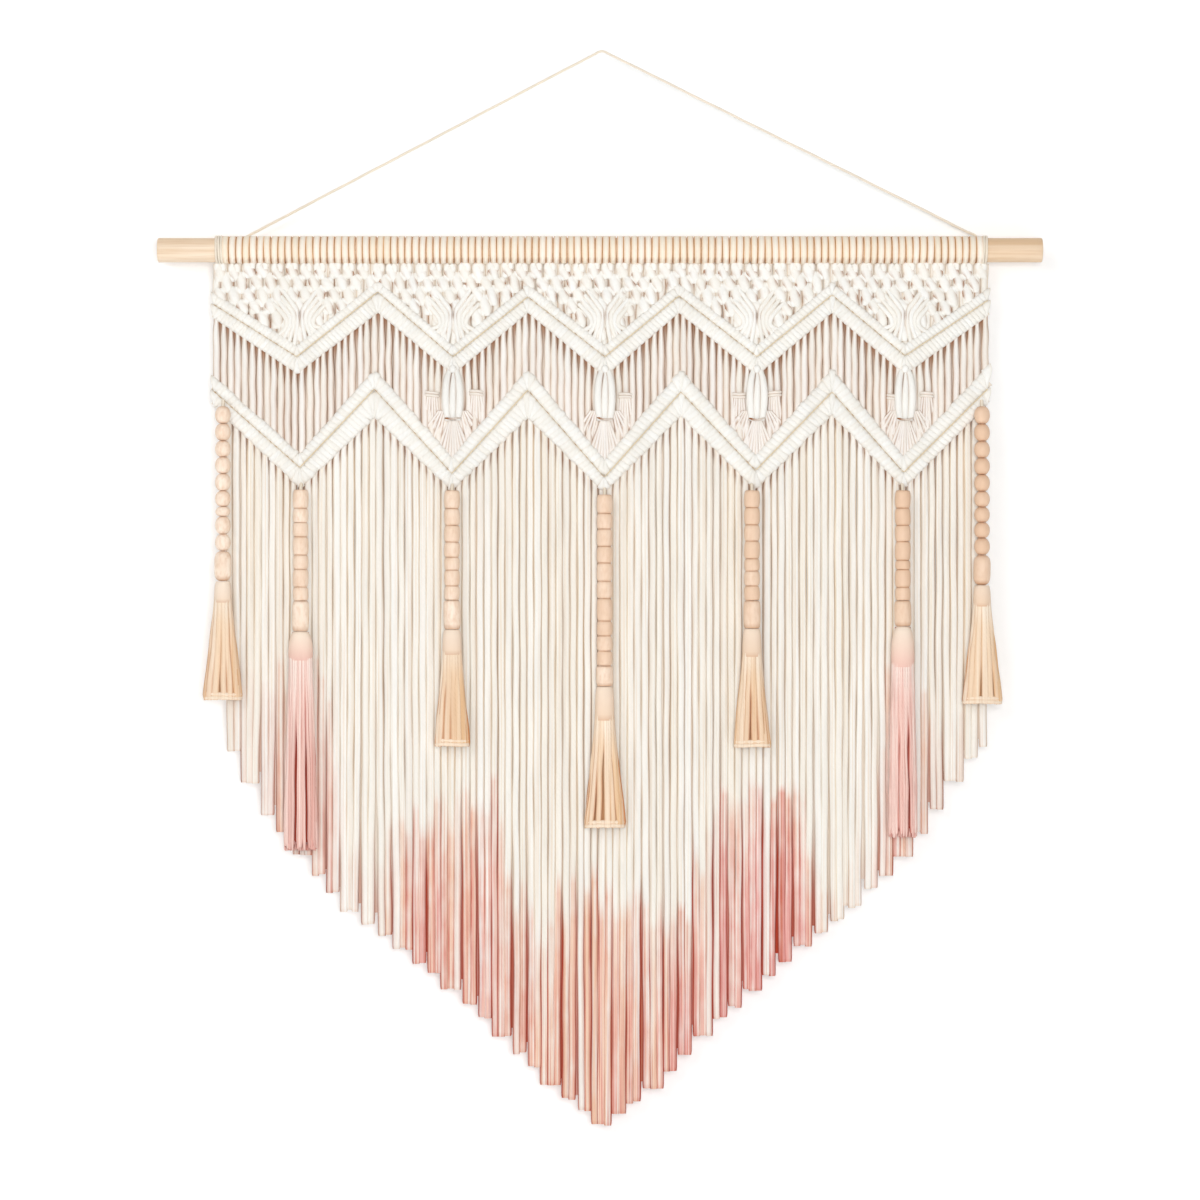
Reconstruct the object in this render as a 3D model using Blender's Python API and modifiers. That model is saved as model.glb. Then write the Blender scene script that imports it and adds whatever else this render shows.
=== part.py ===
"""Macrame wall hanging on a wooden rod, hung by a cord from one point.

Metres, +Z up, +X to the right, and the front faces -Y. The origin is the top of the bend of the hanging
cord, where it lies on its nail. Sizes in the tables are in millimetres and are turned into metres by MM.
"""

import math

import bmesh
import bpy
import numpy as np

MM = 0.001
GAP = 0.3 * MM

# Rod
ROD_RADIUS = 12.5 * MM
ROD_LEFT = -453.0 * MM
ROD_RIGHT = 449.0 * MM
ROD_AXIS_Z = -203.0 * MM
ROD_SIDES = 24
ROD_END_BEVEL = 1.2 * MM

# Hanging cord: its diameter, and the line down its middle from the left coil over the nail to the right one
CORD_DIAMETER = 2.5 * MM
CORD_ROUTE = (
    (-391.5, 16.8, -202.0),
    (-372.0, 16.0, -191.9),
    (-336.0, 14.4, -173.2),
    (-280.0, 12.0, -144.2),
    (-220.0, 9.4, -113.1),
    (-160.0, 6.9, -82.0),
    (-100.0, 4.3, -50.9),
    (-50.0, 2.1, -25.0),
    (-20.0, 0.9, -9.5),
    (-7.0, 0.3, -2.8),
    (-3.2, 0.1, -0.8),
    (0.0, 0.0, 0.0),
    (3.1, 0.1, -0.7),
    (7.0, 0.2, -2.7),
    (20.0, 0.6, -9.1),
    (50.0, 1.5, -23.8),
    (100.0, 3.0, -48.4),
    (160.0, 4.9, -77.9),
    (220.0, 6.7, -107.3),
    (280.0, 8.5, -136.8),
    (336.0, 10.2, -164.3),
    (372.0, 11.3, -182.0),
    (390.5, 11.9, -191.1),
)
CORD_STEPS_A_SPAN = 2

# Coils of the hanging cord round the rod: name, left edge, turns
COILS = (
    ("cord_coil_left", -395.8, 3),
    ("cord_coil_right", 388.6, 2),
)
COIL_TURN = 2.7 * MM
COIL_STEPS = 12

# Heading: lark's heads round the rod
HEADING_LEFT = -387.3 * MM
HEADING_RIGHT = 388.3 * MM
HEADING_STEPS = 8
HEADING_CREST = 15.9 * MM
HEADING_VALLEY = 14.4 * MM

# Knotted panel: 54 pairs of cords side by side
PAIRS = 54
PANEL_LEFT = -397.0 * MM
PANEL_RIGHT = 394.0 * MM
PAIR_PITCH = (PANEL_RIGHT - PANEL_LEFT) / PAIRS
HEADING_ROOT_Z = ROD_AXIS_Z - 13.3 * MM
UNDER_COIL_Z = ROD_AXIS_Z - 17.0 * MM
LATTICE_SWING = 2.7 * MM
LEAST_STEP = 3.0 * MM
KNOT_RIDGE = 1.0 * MM

# Turning points of the two zigzag bands, left end to right end: x, top edge, seam, bottom edge
UPPER_BAND = (
    (-397.0, -246.0, -258.0, -272.0),
    (-311.0, -300.0, -312.0, -329.0),
    (-228.5, -234.0, -246.0, -267.0),
    (-152.0, -300.0, -312.0, -330.0),
    (-75.5, -238.0, -251.0, -267.0),
    (3.0, -300.0, -312.0, -332.0),
    (78.5, -237.0, -250.0, -267.0),
    (158.0, -300.0, -312.0, -331.0),
    (234.5, -236.0, -249.0, -267.0),
    (309.0, -299.0, -311.0, -330.0),
    (394.0, -242.0, -254.0, -270.0),
)
LOWER_BAND = (
    (-397.0, -331.0, -346.0, -361.0),
    (-308.0, -411.0, -425.0, -446.0),
    (-232.0, -325.0, -345.0, -374.0),
    (-153.0, -414.0, -431.0, -448.0),
    (-75.5, -325.0, -346.0, -374.0),
    (2.5, -417.0, -435.0, -450.0),
    (80.5, -325.0, -348.0, -372.0),
    (156.5, -412.0, -428.0, -447.0),
    (234.5, -325.0, -348.0, -371.0),
    (307.5, -413.0, -430.0, -446.0),
    (394.0, -321.0, -344.0, -359.0),
)

# Lines of the panel from the top down: name, depth in front, depth behind, width of a pair of cords
PANEL_LINES = (
    ("root", 3.4, 3.4, 9.0),
    ("knots", 7.0, 4.4, 9.0),
    ("knots_end", 3.8, 3.2, 9.0),
    ("lattice_1", 4.6, 2.8, 8.6),
    ("lattice_2", 4.6, 2.8, 8.6),
    ("lattice_3", 4.6, 2.8, 8.6),
    ("lattice_4", 4.6, 2.8, 8.6),
    ("upper_top", 4.0, 3.2, 9.0),
    ("upper_seam", 5.2, 4.0, 9.0),
    ("upper_crest", 7.2, 4.4, 9.4),
    ("upper_end", 2.8, 2.6, 9.6),
    ("lower_top", 2.8, 2.6, 9.6),
    ("lower_crest", 7.2, 4.4, 9.6),
    ("lower_seam", 4.6, 4.0, 9.6),
    ("lower_row", 7.4, 4.4, 9.6),
    ("parting", 4.4, 3.4, 9.6),
)
LINE_NAMES = [line[0] for line in PANEL_LINES]
KNOTS_Z = -228.0 * MM
KNOTS_END_Z = -239.0 * MM
LATTICE_STEP = 12.0 * MM
CREST_SHARE = 0.5
STRIP_HEIGHT = 6.0 * MM

# Loop knots that stand out below the valleys of the upper band: x of each
LOOP_KNOTS = (-152.0, 3.0, 158.0, 309.0)
# One side of a loop knot from the top down: sideways, forward, height, radius
LOOP_PATH = (
    (2.5, 2.0, -324.0, 2.8),
    (5.6, 7.2, -338.0, 4.0),
    (6.4, 8.6, -351.0, 4.6),
    (4.6, 7.4, -364.0, 4.0),
    (2.4, 4.0, -377.0, 2.8),
)
LOOP_TIE = (7.2, 5.4, 3.0)
LOOP_TIE_FORWARD = 4.2
LOOP_TIE_Z = -374.0

# Fringe: cords hanging from a strip under the lower band, cut in steps to a point
FRINGE_LEFT = -384.0 * MM
FRINGE_RIGHT = 391.5 * MM
FRINGE_CORDS = 106
FRINGE_PITCH = (FRINGE_RIGHT - FRINGE_LEFT) / FRINGE_CORDS
FRINGE_WIDTH = 5.0 * MM
FRINGE_TIP_WIDTH = 6.4 * MM
FRINGE_DEPTH = 2.5 * MM
FRINGE_SWAY = 0.6 * MM
# Cords in each lock, over and over
LOCK_CORDS = (2, 3, 2, 2, 3, 2)
# The line that the lock ends follow: x, height
HEM = (
    (-384.0, -706.0),
    (-362.0, -742.0),
    (-344.0, -775.0),
    (-308.0, -821.0),
    (-264.0, -873.0),
    (-196.0, -924.0),
    (-130.0, -979.0),
    (-60.0, -1048.0),
    (2.0, -1100.0),
    (49.0, -1063.0),
    (112.0, -998.0),
    (151.0, -962.0),
    (220.0, -903.0),
    (266.0, -867.0),
    (309.0, -824.0),
    (333.0, -789.0),
    (365.0, -737.0),
    (391.0, -708.0),
)

# Bead strings, left to right: name, x, top of the first bead, and how far forward the cord leaves the band
STRINGS = (
    ("1", -385.6, -363.0, 8.2),
    ("2", -306.5, -447.8, 5.0),
    ("3", -152.5, -448.6, 5.0),
    ("4", 2.7, -452.9, 5.0),
    ("5", 152.6, -448.6, 5.0),
    ("6", 306.0, -448.6, 5.0),
    ("7", 386.6, -363.0, 8.6),
)
# Heights of the beads on each string from the top down, the last one being the tall bead
BEADS = {
    "1": (17.5, 17.5, 16.5, 17.0, 17.5, 16.0, 10.0, 18.0, 17.0, 30.5),
    "2": (19.0, 14.5, 14.5, 18.5, 14.5, 18.0, 14.0, 30.5),
    "3": (18.5, 17.0, 17.0, 15.5, 13.0, 16.0, 14.5, 29.5),
    "4": (19.0, 16.0, 17.5, 17.0, 18.5, 17.5, 23.0, 15.0, 15.5, 15.0, 20.5),
    "5": (17.5, 17.5, 16.5, 18.0, 12.5, 15.0, 15.0, 28.0),
    "6": (18.0, 17.5, 16.5, 19.0, 9.5, 18.0, 13.5, 25.5),
    "7": (18.0, 17.5, 17.0, 17.0, 17.0, 16.0, 15.5, 16.0, 17.0, 30.5),
}
# Tassels: head radius, head height, whole length, half width at the end
TASSELS = {
    "1": (8.6, 20.0, 121.0, 20.0),
    "2": (12.0, 28.0, 223.0, 19.0),
    "3": (9.5, 24.0, 119.0, 18.0),
    "4": (9.5, 33.0, 144.0, 21.0),
    "5": (9.5, 27.0, 121.0, 19.0),
    "6": (11.5, 40.0, 215.0, 16.0),
    "7": (8.6, 20.0, 121.0, 20.5),
}
PINK_TASSELS = ("2", "6")
BEAD_RADIUS = 8.0 * MM
BEAD_WAIST = 4.2 * MM
BEAD_SHOULDER = 0.24
BEAD_STEPS = 8
TALL_BEAD_RADIUS = 8.7 * MM
STRING_Y = -12.6 * MM
# Cord that leads a string down from the front of the band: radius, rise over the first bead, depth in it
STRING_CORD = (2.1, 6.5, 4.0)
TASSEL_LOCKS = 10
TASSEL_DEPTH = 7.8 * MM
TASSEL_LOCK_THICK = 8.0 * MM
TASSEL_UNEVEN = 1.5 * MM

# Colours: base colour, roughness
COLOURS = {
    "pine": ((0.86, 0.68, 0.45), 0.55),
    "ivory cotton": ((0.90, 0.84, 0.74), 0.9),
    "hanging cord": ((0.85, 0.76, 0.60), 0.85),
    "coral dyed cotton": ((0.86, 0.60, 0.53), 0.9),
    "peach wood": ((0.84, 0.62, 0.45), 0.6),
    "straw cotton": ((0.80, 0.58, 0.36), 0.85),
    "pink cotton": ((0.82, 0.50, 0.47), 0.9),
}


def clear_scene():
    """Remove what the file starts with."""
    for item in list(bpy.data.objects):
        bpy.data.objects.remove(item, do_unlink=True)


def new_collection(name):
    """A collection linked to the scene."""
    made = bpy.data.collections.new(name)
    bpy.context.scene.collection.children.link(made)
    return made


def new_material(name):
    """A Principled material with the colour and roughness of the table."""
    colour, roughness = COLOURS[name]
    made = bpy.data.materials.new(name)
    made.use_nodes = True
    shader = made.node_tree.nodes["Principled BSDF"]
    shader.inputs["Base Color"].default_value = (*colour, 1.0)
    shader.inputs["Roughness"].default_value = roughness
    shader.inputs["Metallic"].default_value = 0.0
    return made


def keep(item, collection, material=None):
    """Link an object into a collection and give it its material."""
    collection.objects.link(item)
    if material is not None:
        item.data.materials.append(material)
    return item


def as_helper(item):
    """Mark an object as a shape that only joins another one."""
    item.hide_render = True
    item.display_type = "WIRE"
    return item


def from_bmesh(name, made):
    """An object that holds the finished bmesh."""
    mesh = bpy.data.meshes.new(name)
    made.to_mesh(mesh)
    made.free()
    return bpy.data.objects.new(name, mesh)


def turned(name, profile, steps, ring=False, start=0.0):
    """A profile of (radius, height) points, down its outer side, turned once round Z.

    A ring's profile closes on itself, and any other one starts and ends on the axis.
    """
    points = [(r * math.cos(start), r * math.sin(start), z) for r, z in profile]
    edges = [(i, i + 1) for i in range(len(points) - 1)]
    if ring:
        edges.append((len(points) - 1, 0))
    mesh = bpy.data.meshes.new(name)
    mesh.from_pydata(points, edges, [])
    made = bpy.data.objects.new(name, mesh)
    screw = made.modifiers.new("turn", "SCREW")
    screw.axis = "Z"
    screw.steps = screw.render_steps = steps
    screw.use_merge_vertices = True
    screw.merge_threshold = 1e-6
    return made


def lay_on_rod(item, middle_x):
    """Turn a piece made round Z so that its axis lies along the rod."""
    item.rotation_euler = (0.0, math.pi / 2, 0.0)
    item.location = (middle_x, 0.0, ROD_AXIS_Z)


def bore_radius(steps):
    """Corner radius of a many-sided bore whose flats clear the rod."""
    return (ROD_RADIUS + GAP) / math.cos(math.pi / steps)


def ridged_ring(name, width, ridges, steps, crest, valley, start=0.0):
    """A ring round the rod whose outside rises to a crest once a ridge."""
    pitch = width / ridges
    outside = [(valley, width / 2)]
    for i in range(ridges):
        outside.append((crest, width / 2 - (i + 0.5) * pitch))
        outside.append((valley, width / 2 - (i + 1) * pitch))
    bore = bore_radius(steps)
    inside = [(bore, -width / 2), (bore, width / 2)]
    return turned(name, outside + inside, steps, ring=True, start=start)


def make_rod():
    """A plain round rod with its ends just broken."""
    bpy.ops.mesh.primitive_cylinder_add(
        vertices=ROD_SIDES,
        radius=ROD_RADIUS,
        depth=ROD_RIGHT - ROD_LEFT,
        location=((ROD_LEFT + ROD_RIGHT) / 2, 0.0, ROD_AXIS_Z),
        rotation=(0.0, math.pi / 2, 0.0),
    )
    rod = bpy.context.active_object
    rod.name = "rod"
    for holder in list(rod.users_collection):
        holder.objects.unlink(rod)
    bevel = rod.modifiers.new("ends", "BEVEL")
    bevel.width = ROD_END_BEVEL
    bevel.segments = 1
    rod.data.shade_smooth()
    rod.data.set_sharp_from_angle(angle=math.radians(40))
    return rod


def smooth_route(points, steps):
    """Points read from a smooth curve through the route: a cubic a span, its slopes set by chord length."""
    route = np.array(points, float)
    chord = np.linalg.norm(np.diff(route, axis=0), axis=1)
    at = np.concatenate([[0.0], np.cumsum(chord)])
    slope = np.gradient(route, at, axis=0)
    line = [route[0]]
    for i, span in enumerate(chord):
        for step in range(1, steps + 1):
            t = step / steps
            line.append(
                (2 * t**3 - 3 * t**2 + 1) * route[i]
                + (t**3 - 2 * t**2 + t) * span * slope[i]
                + (3 * t**2 - 2 * t**3) * route[i + 1]
                + (t**3 - t**2) * span * slope[i + 1]
            )
    return [tuple(point * MM) for point in line]


def tube(name, lines, depth, resolution):
    """A curve object with one straight-sided spline a line; a line's points are x, y, z and, if given, radius."""
    curve = bpy.data.curves.new(name, "CURVE")
    curve.dimensions = "3D"
    curve.bevel_depth = depth
    curve.bevel_resolution = resolution
    curve.use_fill_caps = True
    for line in lines:
        spline = curve.splines.new("POLY")
        spline.points.add(len(line) - 1)
        for point, values in zip(spline.points, line):
            point.co = (*values[:3], 1.0)
            point.radius = values[3] if len(values) > 3 else 1.0
    return bpy.data.objects.new(name, curve)


def curve_to_mesh(item, collection):
    """The curve as a mesh object with its caps welded on; the curve goes."""
    collection.objects.link(item)
    bpy.context.view_layer.update()
    graph = bpy.context.evaluated_depsgraph_get()
    mesh = bpy.data.meshes.new_from_object(item.evaluated_get(graph))
    work = bmesh.new()
    work.from_mesh(mesh)
    bmesh.ops.remove_doubles(work, verts=work.verts[:], dist=1e-6)
    bmesh.ops.recalc_face_normals(work, faces=work.faces[:])
    work.to_mesh(mesh)
    work.free()
    made = bpy.data.objects.new(item.name + "_mesh", mesh)
    made.matrix_world = item.matrix_world
    bpy.data.objects.remove(item, do_unlink=True)
    collection.objects.link(made)
    return made


def cut_grid(name, columns, rows, is_filled, line_of, place):
    """A grid with some cells left out and every other one filled from back to front.

    is_filled(column, row) says which cells stay. line_of(column, row) is the row that a corner lies on,
    which is a lower one where the rows between are squeezed out. place(column, row, in_front) is a corner.
    """
    work = bmesh.new()
    column = work.verts.layers.int.new("column")
    row = work.verts.layers.int.new("row")
    bmesh.ops.create_grid(work, x_segments=columns - 1, y_segments=rows - 1, size=1.0)
    for corner in work.verts:
        corner[column] = round((corner.co.x + 1) / 2 * (columns - 1))
        corner[row] = round((1 - corner.co.y) / 2 * (rows - 1))
    gaps = []
    for face in work.faces:
        first_column = min(corner[column] for corner in face.verts)
        first_row = min(corner[row] for corner in face.verts)
        if not is_filled(first_column, first_row):
            gaps.append(face)
    bmesh.ops.delete(work, geom=gaps, context="FACES")
    for corner in work.verts:
        corner[row] = line_of(corner[column], corner[row])
        corner.co = place(corner[column], corner[row], False)
    bmesh.ops.remove_doubles(work, verts=work.verts[:], dist=1e-6)
    raised = bmesh.ops.extrude_face_region(work, geom=work.faces[:])
    for item in raised["geom"]:
        if isinstance(item, bmesh.types.BMVert):
            item.co = place(item[column], item[row], True)
    bmesh.ops.recalc_face_normals(work, faces=work.faces[:])
    return from_bmesh(name, work)


def band_z(band, column, x):
    """Height of one line of a zigzag band at x."""
    table = np.array(band)
    return float(np.interp(x, table[:, 0] * MM, table[:, column] * MM))


def between(top, bottom, share):
    """A height part of the way down from top to bottom."""
    return top + (bottom - top) * share


def line_z(name, x):
    """Height of one of the panel's lines at x."""
    if name == "root":
        under_heading = HEADING_LEFT + CORD_DIAMETER < x < HEADING_RIGHT
        return HEADING_ROOT_Z if under_heading else UNDER_COIL_Z
    if name == "knots":
        return KNOTS_Z
    if name == "knots_end":
        return KNOTS_END_Z
    if name.startswith("lattice_"):
        return KNOTS_END_Z - LATTICE_STEP * int(name[-1])
    top, seam, end = (
        band_z(UPPER_BAND if name.startswith("upper") else LOWER_BAND, i, x) for i in (1, 2, 3)
    )
    parting = end + STRIP_HEIGHT
    return {
        "upper_top": top,
        "upper_seam": seam,
        "upper_crest": between(seam, end, CREST_SHARE),
        "upper_end": end,
        "lower_top": top,
        "lower_crest": between(top, seam, CREST_SHARE),
        "lower_seam": seam,
        "lower_row": between(seam, parting, CREST_SHARE),
        "parting": parting,
    }[name]


def column_x(column, width):
    """The left or right edge of a pair of cords of this width."""
    pair, right = divmod(column, 2)
    return PANEL_LEFT + (pair + 0.5) * PAIR_PITCH + (right - 0.5) * width


def panel_line_of(column, row):
    """The line that a corner lies on: a lattice line below the upper band's top edge becomes that edge,
    and the edge becomes the end of the knots where the two meet."""
    top, knots_end = LINE_NAMES.index("upper_top"), LINE_NAMES.index("knots_end")
    if row <= knots_end or row > top:
        return row
    x = column_x(column, PANEL_LINES[top][3] * MM)
    top_z = line_z("upper_top", x)
    if top_z > KNOTS_END_Z - LEAST_STEP:
        return knots_end
    if row < top and line_z(LINE_NAMES[row], x) < top_z + LEAST_STEP:
        return top
    return row


def panel_place(column, row, in_front):
    """A corner of the panel: pairs swing left and right in the lattice, and knots slant on the bands."""
    name, front, back, width = PANEL_LINES[row]
    x = column_x(column, width * MM)
    z = line_z(name, x)
    if name.startswith("lattice_"):
        x += LATTICE_SWING * (1 if (column // 2 + row) % 2 else -1)
    if not in_front:
        return (x, back * MM, z)
    depth = front * MM
    if name in ("knots", "upper_crest", "lower_crest", "lower_row", "upper_seam"):
        depth -= KNOT_RIDGE * (column % 2) * 2
    return (x, -depth, z)


def panel_is_filled(column, row):
    """Every cell stays but those between two pairs in the lattice and between the two bands."""
    if column % 2 == 0:
        return True
    name = LINE_NAMES[row]
    if name in ("knots_end", "lattice_1", "lattice_2", "lattice_3", "lattice_4"):
        return False
    return name != "upper_end"


def make_loop_knots(collection):
    """Two bulging cords and a tie under each of four valleys."""
    lines = []
    for x in LOOP_KNOTS:
        for side in (-1, 1):
            line = []
            for sideways, forward, height, radius in LOOP_PATH:
                line.append(((x + side * sideways) * MM, -forward * MM, height * MM, radius))
            lines.append(line)
    loops = curve_to_mesh(tube("loop_knots", lines, 1.0 * MM, 0), collection)
    ties = bmesh.new()
    for x in LOOP_KNOTS:
        ball = bmesh.ops.create_uvsphere(ties, u_segments=6, v_segments=5, radius=1.0)
        for corner in ball["verts"]:
            corner.co.x = (x + corner.co.x * LOOP_TIE[0]) * MM
            corner.co.y = (-LOOP_TIE_FORWARD + corner.co.y * LOOP_TIE[1]) * MM
            corner.co.z = (LOOP_TIE_Z + corner.co.z * LOOP_TIE[2]) * MM
    return as_helper(loops), keep(as_helper(from_bmesh("loop_ties", ties)), collection)


def add_union(target, name, other):
    """Join another closed shape onto the target."""
    boolean = target.modifiers.new(name, "BOOLEAN")
    boolean.operation = "UNION"
    boolean.solver = "EXACT"
    boolean.object = other


def make_macrame(helpers):
    """The heading round the rod, the lattice, the two bands and the loop knots as one body."""
    width = HEADING_RIGHT - HEADING_LEFT
    flat_below = math.pi / HEADING_STEPS
    heading = ridged_ring(
        "heading", width, PAIRS, HEADING_STEPS, HEADING_CREST, HEADING_VALLEY, flat_below
    )
    lay_on_rod(keep(as_helper(heading), helpers), (HEADING_LEFT + HEADING_RIGHT) / 2)
    panel = cut_grid(
        "macrame", 2 * PAIRS, len(PANEL_LINES), panel_is_filled, panel_line_of, panel_place
    )
    loops, ties = make_loop_knots(helpers)
    add_union(loops, "ties", ties)
    add_union(panel, "loops", loops)
    add_union(panel, "heading", heading)
    return panel


def lock_centres():
    """The middle x of the lock that each fringe cord belongs to."""
    centres = []
    lock = 0
    while len(centres) < FRINGE_CORDS:
        count = min(LOCK_CORDS[lock % len(LOCK_CORDS)], FRINGE_CORDS - len(centres))
        middle = FRINGE_LEFT + (len(centres) + count / 2) * FRINGE_PITCH
        centres += [middle] * count
        lock += 1
    return centres


def fringe_x(column):
    """The left or right edge of a fringe cord at its root."""
    cord, right = divmod(column, 2)
    return FRINGE_LEFT + (cord + 0.5) * FRINGE_PITCH + (right - 0.5) * FRINGE_WIDTH


def strip_top():
    """Heights of the top edge of the fringe's strip, which keeps clear of the panel's corners."""
    parting = LINE_NAMES.index("parting")
    width = PANEL_LINES[parting][3] * MM
    panel_x = np.array([column_x(column, width) for column in range(2 * PAIRS)])
    panel_z = np.array([line_z("parting", x) for x in panel_x])
    x = np.array([fringe_x(column) for column in range(2 * FRINGE_CORDS)])
    z = np.interp(x, panel_x, panel_z) - 2 * GAP
    for corner_x, corner_z in zip(panel_x, panel_z):
        after = int(np.searchsorted(x, corner_x))
        if 0 < after < len(x):
            over = float(np.interp(corner_x, x, z)) - (corner_z - 2 * GAP)
            z[after - 1 : after + 1] -= max(over, 0.0)
    return z


def make_fringe():
    """A thin zigzag strip and the cords that hang from it, their ends drawn together in locks."""
    centres = lock_centres()
    top = strip_top()
    hem = np.array(HEM) * MM

    def is_filled(column, row):
        return row == 0 or column % 2 == 0

    def place(column, row, in_front):
        cord, right = divmod(column, 2)
        depth = -FRINGE_DEPTH if in_front else FRINGE_DEPTH
        x = fringe_x(column)
        if row == 0:
            return (x, depth, float(top[column]))
        if row == 1:
            return (x, depth, band_z(LOWER_BAND, 3, x))
        centre = centres[cord]
        root = FRINGE_LEFT + (cord + 0.5) * FRINGE_PITCH
        middle = centre + (root - centre) * (FRINGE_TIP_WIDTH + 2 * GAP) / FRINGE_PITCH
        sway = FRINGE_SWAY * (1 if cord % 2 else -1)
        z = float(np.interp(centre, hem[:, 0], hem[:, 1]))
        return (middle + (right - 0.5) * FRINGE_TIP_WIDTH, depth - sway, z)

    return cut_grid("fringe", 2 * FRINGE_CORDS, 3, is_filled, lambda column, row: row, place)


def make_bead_string(name, x, top, forward, helpers):
    """The small beads on their cord, which comes down to the first one from the front of the band."""
    z = top * MM
    profile = [(0.0, z), (BEAD_WAIST, z)]
    for height in BEADS[name][:-1]:
        tall = height * MM
        radius = BEAD_RADIUS * min(1.0, 0.9 + tall * 6)
        profile.append((radius, z - tall * BEAD_SHOULDER))
        profile.append((radius, z - tall * (1 - BEAD_SHOULDER)))
        z -= tall
        profile.append((BEAD_WAIST, z))
    profile.append((0.0, z))
    made = turned(f"bead_string_{name}", profile, BEAD_STEPS)
    made.location = (x * MM, STRING_Y, 0.0)
    radius, rise, depth = STRING_CORD
    lead = [(x * MM, -forward * MM, (top + rise) * MM), (x * MM, STRING_Y, (top - depth) * MM)]
    cord = curve_to_mesh(tube(f"string_cord_{name}", [lead], radius * MM, 0), helpers)
    add_union(made, "cord", as_helper(cord))
    return made, z


def make_tall_bead(name, x, top):
    """The last bead of a string: a tall barrel with round shoulders."""
    height = BEADS[name][-1] * MM
    shape = ((0.0, 0.0), (0.45, 0.0), (0.86, 0.2), (1.0, 0.5), (0.86, 0.8), (0.45, 1.0), (0.0, 1.0))
    profile = [(TALL_BEAD_RADIUS * r, top - height * down) for r, down in shape]
    made = turned(f"tall_bead_{name}", profile, BEAD_STEPS)
    made.location = (x * MM, STRING_Y, 0.0)
    return made, top - height


def make_tassel(name, x, top):
    """A round head, and locks that spread from its underside and hang to one level, flattened front to back."""
    radius, height, length, spread = (size * MM for size in TASSELS[name])
    work = bmesh.new()
    bmesh.ops.create_cone(
        work,
        cap_ends=True,
        segments=TASSEL_LOCKS,
        radius1=radius,
        radius2=radius * 0.62,
        depth=height,
    )
    caps = [face for face in work.faces if len(face.verts) > 4]
    under, over = sorted(caps, key=lambda face: face.calc_center_median().z)
    bmesh.ops.inset_region(work, faces=[over], thickness=radius * 0.2, depth=radius * 0.12)
    ring = bmesh.ops.inset_region(work, faces=[under], thickness=radius * 0.62)["faces"]
    locks = bmesh.ops.extrude_discrete_faces(work, faces=ring)["faces"]
    for index, lock in enumerate(locks):
        middle = lock.calc_center_median()
        towards = math.atan2(middle.y, middle.x)
        for corner in lock.verts:
            outer = math.hypot(corner.co.x, corner.co.y) > radius * 0.7
            turn = math.atan2(corner.co.y, corner.co.x) - towards
            turn = (turn + math.pi) % (2 * math.pi) - math.pi
            reach = spread if outer else spread - TASSEL_LOCK_THICK
            corner.co.x = reach * math.cos(towards + turn * 0.84)
            corner.co.y = reach * math.sin(towards + turn * 0.84)
            corner.co.z = height / 2 - length + TASSEL_UNEVEN * (index % 3)
    for corner in work.verts:
        width = math.hypot(corner.co.x, corner.co.y)
        corner.co.y *= min(1.0, TASSEL_DEPTH / max(width, TASSEL_DEPTH))
        corner.co.z += top - height / 2
    lift = max(corner.co.z for corner in work.verts) - top
    for corner in work.verts:
        corner.co.z -= lift
    bmesh.ops.recalc_face_normals(work, faces=work.faces[:])
    made = from_bmesh(f"tassel_{name}", work)
    made.location = (x * MM, STRING_Y, 0.0)
    return made


def main():
    """Build the hanging from the rod down."""
    clear_scene()
    parts = new_collection("macrame_wall_hanging")
    helpers = new_collection("joined_shapes")
    materials = {name: new_material(name) for name in COLOURS}

    keep(make_rod(), parts, materials["pine"])
    cord = tube(
        "hanging_cord", [smooth_route(CORD_ROUTE, CORD_STEPS_A_SPAN)], CORD_DIAMETER / 2, 2
    )
    keep(cord, parts, materials["hanging cord"])
    for name, left, turns in COILS:
        outside = ROD_RADIUS + GAP + CORD_DIAMETER
        coil = ridged_ring(
            name, turns * COIL_TURN, turns, COIL_STEPS, outside, outside - CORD_DIAMETER * 0.3
        )
        lay_on_rod(coil, left * MM + turns * COIL_TURN / 2)
        keep(coil, parts, materials["hanging cord"])

    keep(make_macrame(helpers), parts, materials["ivory cotton"])
    keep(make_fringe(), parts, materials["coral dyed cotton"])
    for name, x, top, forward in STRINGS:
        string, foot = make_bead_string(name, x, top, forward, helpers)
        keep(string, parts, materials["peach wood"])
        bead, foot = make_tall_bead(name, x, foot - GAP)
        keep(bead, parts, materials["peach wood"])
        tassel = make_tassel(name, x, foot - GAP)
        colour = "pink cotton" if name in PINK_TASSELS else "straw cotton"
        keep(tassel, parts, materials[colour])


main()
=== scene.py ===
"""Macrame wall hanging on a wooden rod, dressed as it hangs on a pale wall.

Tables and sizes are in millimetres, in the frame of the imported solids: +X to the right, +Z up, the front
faces -Y, and the origin is the bend of the hanging cord over its nail. Every cord, knot, bead and strand is
a tube carried along a line, worked out for all of its kind at once as numpy arrays.
"""
import logging
import math
from dataclasses import dataclass
from enum import Enum

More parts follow.
